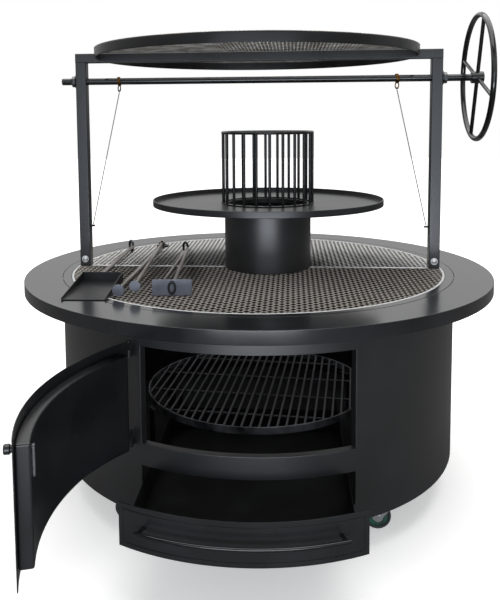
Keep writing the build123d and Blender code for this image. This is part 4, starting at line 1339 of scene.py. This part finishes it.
class GRILL_OT_tools(bpy.types.Operator):
    """Builds the shovel, the tongs and the rake that lie on the mesh"""

    bl_idname = "grill.tools"
    bl_label = "Fire Tools"

    def execute(self, context):
        self.shovel()
        self.tongs()
        self.rake()
        return {"FINISHED"}

    def shovel(self):
        """Open-fronted sheet pan on a long rod with a ring."""
        place = (-0.452, -0.488)
        turn = 1.5
        half = 0.062
        depth = 0.235
        wall = 0.030
        lip = 0.007
        close = 0.001
        deselect()
        bpy.ops.mesh.primitive_cube_add(size=1, location=(0, depth / 2, wall / 2))
        bpy.context.object.scale = (2 * half, depth, wall)
        pan = opened(settle(), lambda point: point.z > wall - close or point.y < close)
        pick_points(pan, lambda point: point.y < close and point.z > wall - close)
        bpy.ops.transform.translate(value=(0, 0, lip - wall))
        pan = laid(thickened(leave(), thickness=0.0025, edge=0.0008, offset=-1), place, turn)
        finished(pan, "shovel_scoop", "shovel", tool_paint(), ["shovel_pan"])
        rise = 0.024
        rod_length = 0.480
        end = depth + rod_length
        rod = laid(bar((0, depth, rise), (0, end, rise), ROD), place, turn)
        finished(rod, "shovel_rod", "shovel", tool_steel(), ["shovel_handle"])
        ring = laid(end_ring(end, rise), place, turn)
        finished(ring, "shovel_ring", "shovel", gloss_paint())

    def tongs(self):
        """Two long rods with round jaws, pinned under a hanging ring."""
        place = (-0.366, 0.250)
        turn = 2.1
        reach = 0.700
        splay = 1.9
        jaw = 0.020
        jaw_sheet = 0.004
        jaw_end = -reach - jaw_sheet
        gap = 0.0005
        clear = 0.003
        upper = jaw + 2 * ROD + gap
        for name, sign, z in (("lower", -1, jaw), ("upper", 1, upper)):
            arm = swung(bar((0, 0, z), (0, -reach, z), ROD), sign * splay)
            boss = bar((0, 0, z - ROD), (0, 0, z + ROD), 2 * ROD)
            body = f"tongs_{name}"
            piece = laid(joined([arm, boss]), place, turn)
            finished(piece, f"{body}_rod", body, tool_steel(), [f"{body}_arm"])
            radius = jaw - clear - (z - jaw) / 8
            cap = bar((0, -reach, z), (0, jaw_end, z), radius, sides=40, edge=0.001)
            piece = laid(swung(cap, sign * splay), place, turn)
            finished(piece, f"{body}_jaw", body, blade_steel())
        ring = hoop(RING, RING_WIRE, (0, RING + ROD, jaw), (0, 0, 1), around=48, sides=12)
        pin = bar((0, 0, jaw), (0, 0, upper + ROD + RING_WIRE), radius=0.005)
        piece = laid(joined([ring, pin]), place, turn)
        finished(piece, "tongs_ring", "tongs_lower", gloss_paint())

    def rake(self):
        """Upright blade with a wire loop, on two long rods with a ring."""
        place = (-0.218, -0.420)
        turn = 4.0
        half = 0.056
        tall = 0.046
        thick = 0.004
        length = 0.620
        z = tall / 2
        blade = laid(block((-half, -thick, 0), (half, 0, tall), edge=0.0012), place, turn)
        finished(blade, "rake_plate", "rake", blade_steel(), ["rake_blade"])
        rod = bar((0, 0, z), (0, length, z), ROD)
        brace = bar((-0.036, 0, z), (-0.004, length - 0.020, z), 0.8 * ROD)
        rods = laid(joined([rod, brace]), place, turn)
        finished(rods, "rake_rods", "rake", tool_steel(), ["rake_handle"])
        loop = long_hoop(0.0092, 0.0027, 1.7, (0, -0.0065, z), (0, 1, 0), around=48, sides=12)
        rings = laid(joined([loop, end_ring(length, z)]), place, turn)
        finished(rings, "rake_rings", "rake", tool_paint())


class GRILL_OT_casters(bpy.types.Operator):
    """Builds the caster wheels: a rubber tread on a green web round a cast hub"""

    bl_idname = "grill.casters"
    bl_label = "Casters"

    def execute(self, context):
        tread = self.pattern(0.0290, 0.0375, half=0.0120, edge=0.0045, segments=4)
        web = self.pattern(0.0148, 0.0292, half=0.0110, edge=0.0020)
        hub = self.pattern(0.0062, 0.0150, half=0.0138, edge=0.0015)
        for name in ("front_left", "front_right", "back_left", "back_right"):
            middle = middle_of(f"caster_tyre_{name}")
            body = f"wheel_{name}"
            piece = self.mounted(tread, middle)
            finished(piece, f"tread_{name}", body, caster_rubber(), [f"caster_tyre_{name}"])
            piece = self.mounted(web, middle)
            finished(piece, f"web_{name}", body, green_web(), [f"caster_hub_{name}"])
            finished(self.mounted(hub, middle), f"hub_{name}", body, cast_alloy())
        for pattern in (tread, web, hub):
            bpy.data.objects.remove(pattern)
        return {"FINISHED"}

    def pattern(self, inner, outer, half, edge, segments=2):
        """Turned ring between two radii, as wide as twice its half."""
        return turned_solid(inner, outer, -half, half, -180, 180, edge, segments)

    def mounted(self, pattern, middle):
        """Copy of a turned ring, laid on its side at a wheel's middle."""
        choose(pattern)
        bpy.ops.object.duplicate()
        bpy.context.object.rotation_euler = (pi / 2, 0, 0)
        bpy.context.object.location = middle
        return settle()


class GRILL_OT_stage(bpy.types.Operator):
    """Sets the camera, the soft lights and the pale floor"""

    bl_idname = "grill.stage"
    bl_label = "Stage"

    def execute(self, context):
        scene = context.scene
        scene.view_settings.view_transform = "Standard"
        place_camera(scene)
        place_lights(scene)
        lay_floor()
        paint_world(scene)
        return {"FINISHED"}


# The photograph's camera: its place in metres, its turns in radians and its lens in pixels of the frame.
CAMERA_PLACE = (0.1142, -2.3986, 1.1555)
CAMERA_TURN = 0.0763
CAMERA_PITCH = -0.0927
CAMERA_ROLL = -0.0071
FOCAL_PIXELS = 726.4
FRAME_WIDTH = 500
FRAME_HEIGHT = 600
PRINCIPAL = (235.8, 188.5)


def place_camera(scene):
    """Camera at the photograph's viewpoint, with its lens shift."""
    data = bpy.data.cameras.new("grill_camera")
    camera = bpy.data.objects.new("grill_camera", data)
    scene.collection.objects.link(camera)
    level = Vector((-sin(CAMERA_TURN), cos(CAMERA_TURN), 0))
    side = Vector((cos(CAMERA_TURN), sin(CAMERA_TURN), 0))
    up = Vector((0, 0, 1))
    ahead = level * cos(CAMERA_PITCH) + up * sin(CAMERA_PITCH)
    head = up * cos(CAMERA_PITCH) - level * sin(CAMERA_PITCH)
    right = side * cos(CAMERA_ROLL) + head * sin(CAMERA_ROLL)
    top = head * cos(CAMERA_ROLL) - side * sin(CAMERA_ROLL)
    axes = Matrix((right, top, -ahead)).transposed()
    camera.matrix_world = Matrix.Translation(CAMERA_PLACE) @ axes.to_4x4()
    data.sensor_fit = "HORIZONTAL"
    data.sensor_width = 36
    data.lens = FOCAL_PIXELS / FRAME_WIDTH * data.sensor_width
    data.shift_x = (FRAME_WIDTH / 2 - PRINCIPAL[0]) / FRAME_WIDTH
    data.shift_y = (PRINCIPAL[1] - FRAME_HEIGHT / 2) / FRAME_WIDTH
    data.clip_end = 50
    scene.camera = camera


def place_lights(scene):
    """Soft lamps: two faintly cool ones behind the camera, wide and low, and a plain one overhead."""
    lamps = (
        ("front_softbox", (0.15, -4.4, 0.85), (0, 0, 0.7), 4.4, 1.7, 60, "#e4f0ff"),
        ("low_softbox", (0.1, -3.4, 0.24), (0, -0.6, 0.3), 2.2, 0.36, 34, "#f4f7ff"),
        ("overhead_softbox", (0.1, 0.2, 3.8), (0, 0, 0.6), 4.6, 4.6, 190, "#ffffff"),
    )
    for name, place, aim, width, height, power, tint in lamps:
        data = bpy.data.lights.new(name, "AREA")
        data.shape = "RECTANGLE"
        data.size = width
        data.size_y = height
        data.energy = power
        data.color = linear(tint)
        lamp = bpy.data.objects.new(name, data)
        scene.collection.objects.link(lamp)
        lamp.location = place
        lamp.rotation_euler = (Vector(aim) - Vector(place)).to_track_quat("-Z", "Y").to_euler()


def lay_floor():
    """Wide pale floor, white to the eye, that keeps the grill's soft shadow."""
    deselect()
    bpy.ops.mesh.primitive_plane_add(size=40)
    floor = bpy.context.object
    floor.name = "floor"
    material = bpy.data.materials.new("pale_floor")
    tree = empty_tree(material)
    rays = node(tree, "ShaderNodeLightPath").outputs
    pale, dim = (
        node(tree, "ShaderNodeBsdfDiffuse", {"Color": rgba(linear(code))}).outputs[0]
        for code in ("#f2f1ef", "#7a7978")
    )
    matt = node(tree, "ShaderNodeMixShader", {}, {0: rays["Is Glossy Ray"], 1: pale, 2: dim}).outputs[0]
    place = node(tree, "ShaderNodeTexCoord").outputs["Object"]
    away = node(tree, "ShaderNodeVectorMath", {}, {0: place}, operation="LENGTH").outputs["Value"]
    fade = node(
        tree, "ShaderNodeMapRange", {"From Min": 1.0, "From Max": 2.6, "To Min": 0.4}, {"Value": away}
    ).outputs["Result"]
    strength = node(
        tree, "ShaderNodeMath", {}, {0: rays["Is Camera Ray"], 1: fade}, operation="MULTIPLY"
    ).outputs[0]
    glow = node(tree, "ShaderNodeEmission", {"Color": (1, 1, 1, 1)}, {"Strength": strength}).outputs[0]
    both = node(tree, "ShaderNodeAddShader", {}, {0: matt, 1: glow}).outputs[0]
    node(tree, "ShaderNodeOutputMaterial", links={"Surface": both})
    floor.data.materials.append(material)


def paint_world(scene):
    """White background to the eye and part of the way up in reflections, with a plain level of light."""
    world = bpy.data.worlds.new("studio")
    scene.world = world
    tree = empty_tree(world)
    rays = node(tree, "ShaderNodeLightPath").outputs
    way = node(tree, "ShaderNodeTexCoord").outputs["Generated"]
    rise = node(tree, "ShaderNodeSeparateXYZ", links={"Vector": way}).outputs["Z"]
    low_sky, high_sky = (
        node(
            tree,
            "ShaderNodeMapRange",
            {"From Min": start, "From Max": end, "To Min": first, "To Max": last},
            {"Value": rise},
        ).outputs["Result"]
        for start, end, first, last in ((-0.02, 0.30, 0.12, 1.05), (0.42, 0.62, 1.0, 0.3))
    )
    sky = node(tree, "ShaderNodeMath", {}, {0: low_sky, 1: high_sky}, operation="MULTIPLY").outputs[0]
    plain = 0.45
    level = node(
        tree,
        "ShaderNodeMix",
        {NUMBER_A: plain},
        {FACTOR: rays["Is Glossy Ray"], NUMBER_B: sky},
        data_type="FLOAT",
    ).outputs[0]
    seen = node(
        tree,
        "ShaderNodeMath",
        {},
        {0: rays["Is Camera Ray"], 1: rays["Is Transmission Ray"]},
        operation="MAXIMUM",
    ).outputs[0]
    strength = node(tree, "ShaderNodeMath", {}, {0: level, 1: seen}, operation="MAXIMUM").outputs[0]
    back = node(tree, "ShaderNodeBackground", {"Color": (1, 1, 1, 1)}, {"Strength": strength}).outputs[0]
    node(tree, "ShaderNodeOutputWorld", links={"Surface": back})


OPERATORS = (
    GRILL_OT_finishes,
    GRILL_OT_table,
    GRILL_OT_drum,
    GRILL_OT_charcoal_grate,
    GRILL_OT_cooking_mesh,
    GRILL_OT_gallows,
    GRILL_OT_winch,
    GRILL_OT_upper_grate,
    GRILL_OT_fire_tower,
    GRILL_OT_door,
    GRILL_OT_drawer,
    GRILL_OT_tools,
    GRILL_OT_casters,
    GRILL_OT_stage,
)


class GRILL_PT_panel(bpy.types.Panel):
    """Sidebar panel that lists the grill's builders"""

    bl_label = "Round Charcoal Grill"
    bl_idname = "GRILL_PT_panel"
    bl_space_type = "VIEW_3D"
    bl_region_type = "UI"
    bl_category = "Grill"

    def draw(self, context):
        for operator in OPERATORS:
            self.layout.operator(operator.bl_idname)


CLASSES = (GrillSizes, GrillColours, *OPERATORS, GRILL_PT_panel)


def register():
    for item in CLASSES:
        bpy.utils.register_class(item)
    bpy.types.Scene.grill_sizes = PointerProperty(type=GrillSizes)
    bpy.types.Scene.grill_colours = PointerProperty(type=GrillColours)


def unregister():
    del bpy.types.Scene.grill_colours
    del bpy.types.Scene.grill_sizes
    for item in reversed(CLASSES):
        bpy.utils.unregister_class(item)


def main():
    register()
    for operator in OPERATORS:
        group, name = operator.bl_idname.split(".")
        getattr(getattr(bpy.ops, group), name)()


if __name__ == "__main__":
    main()
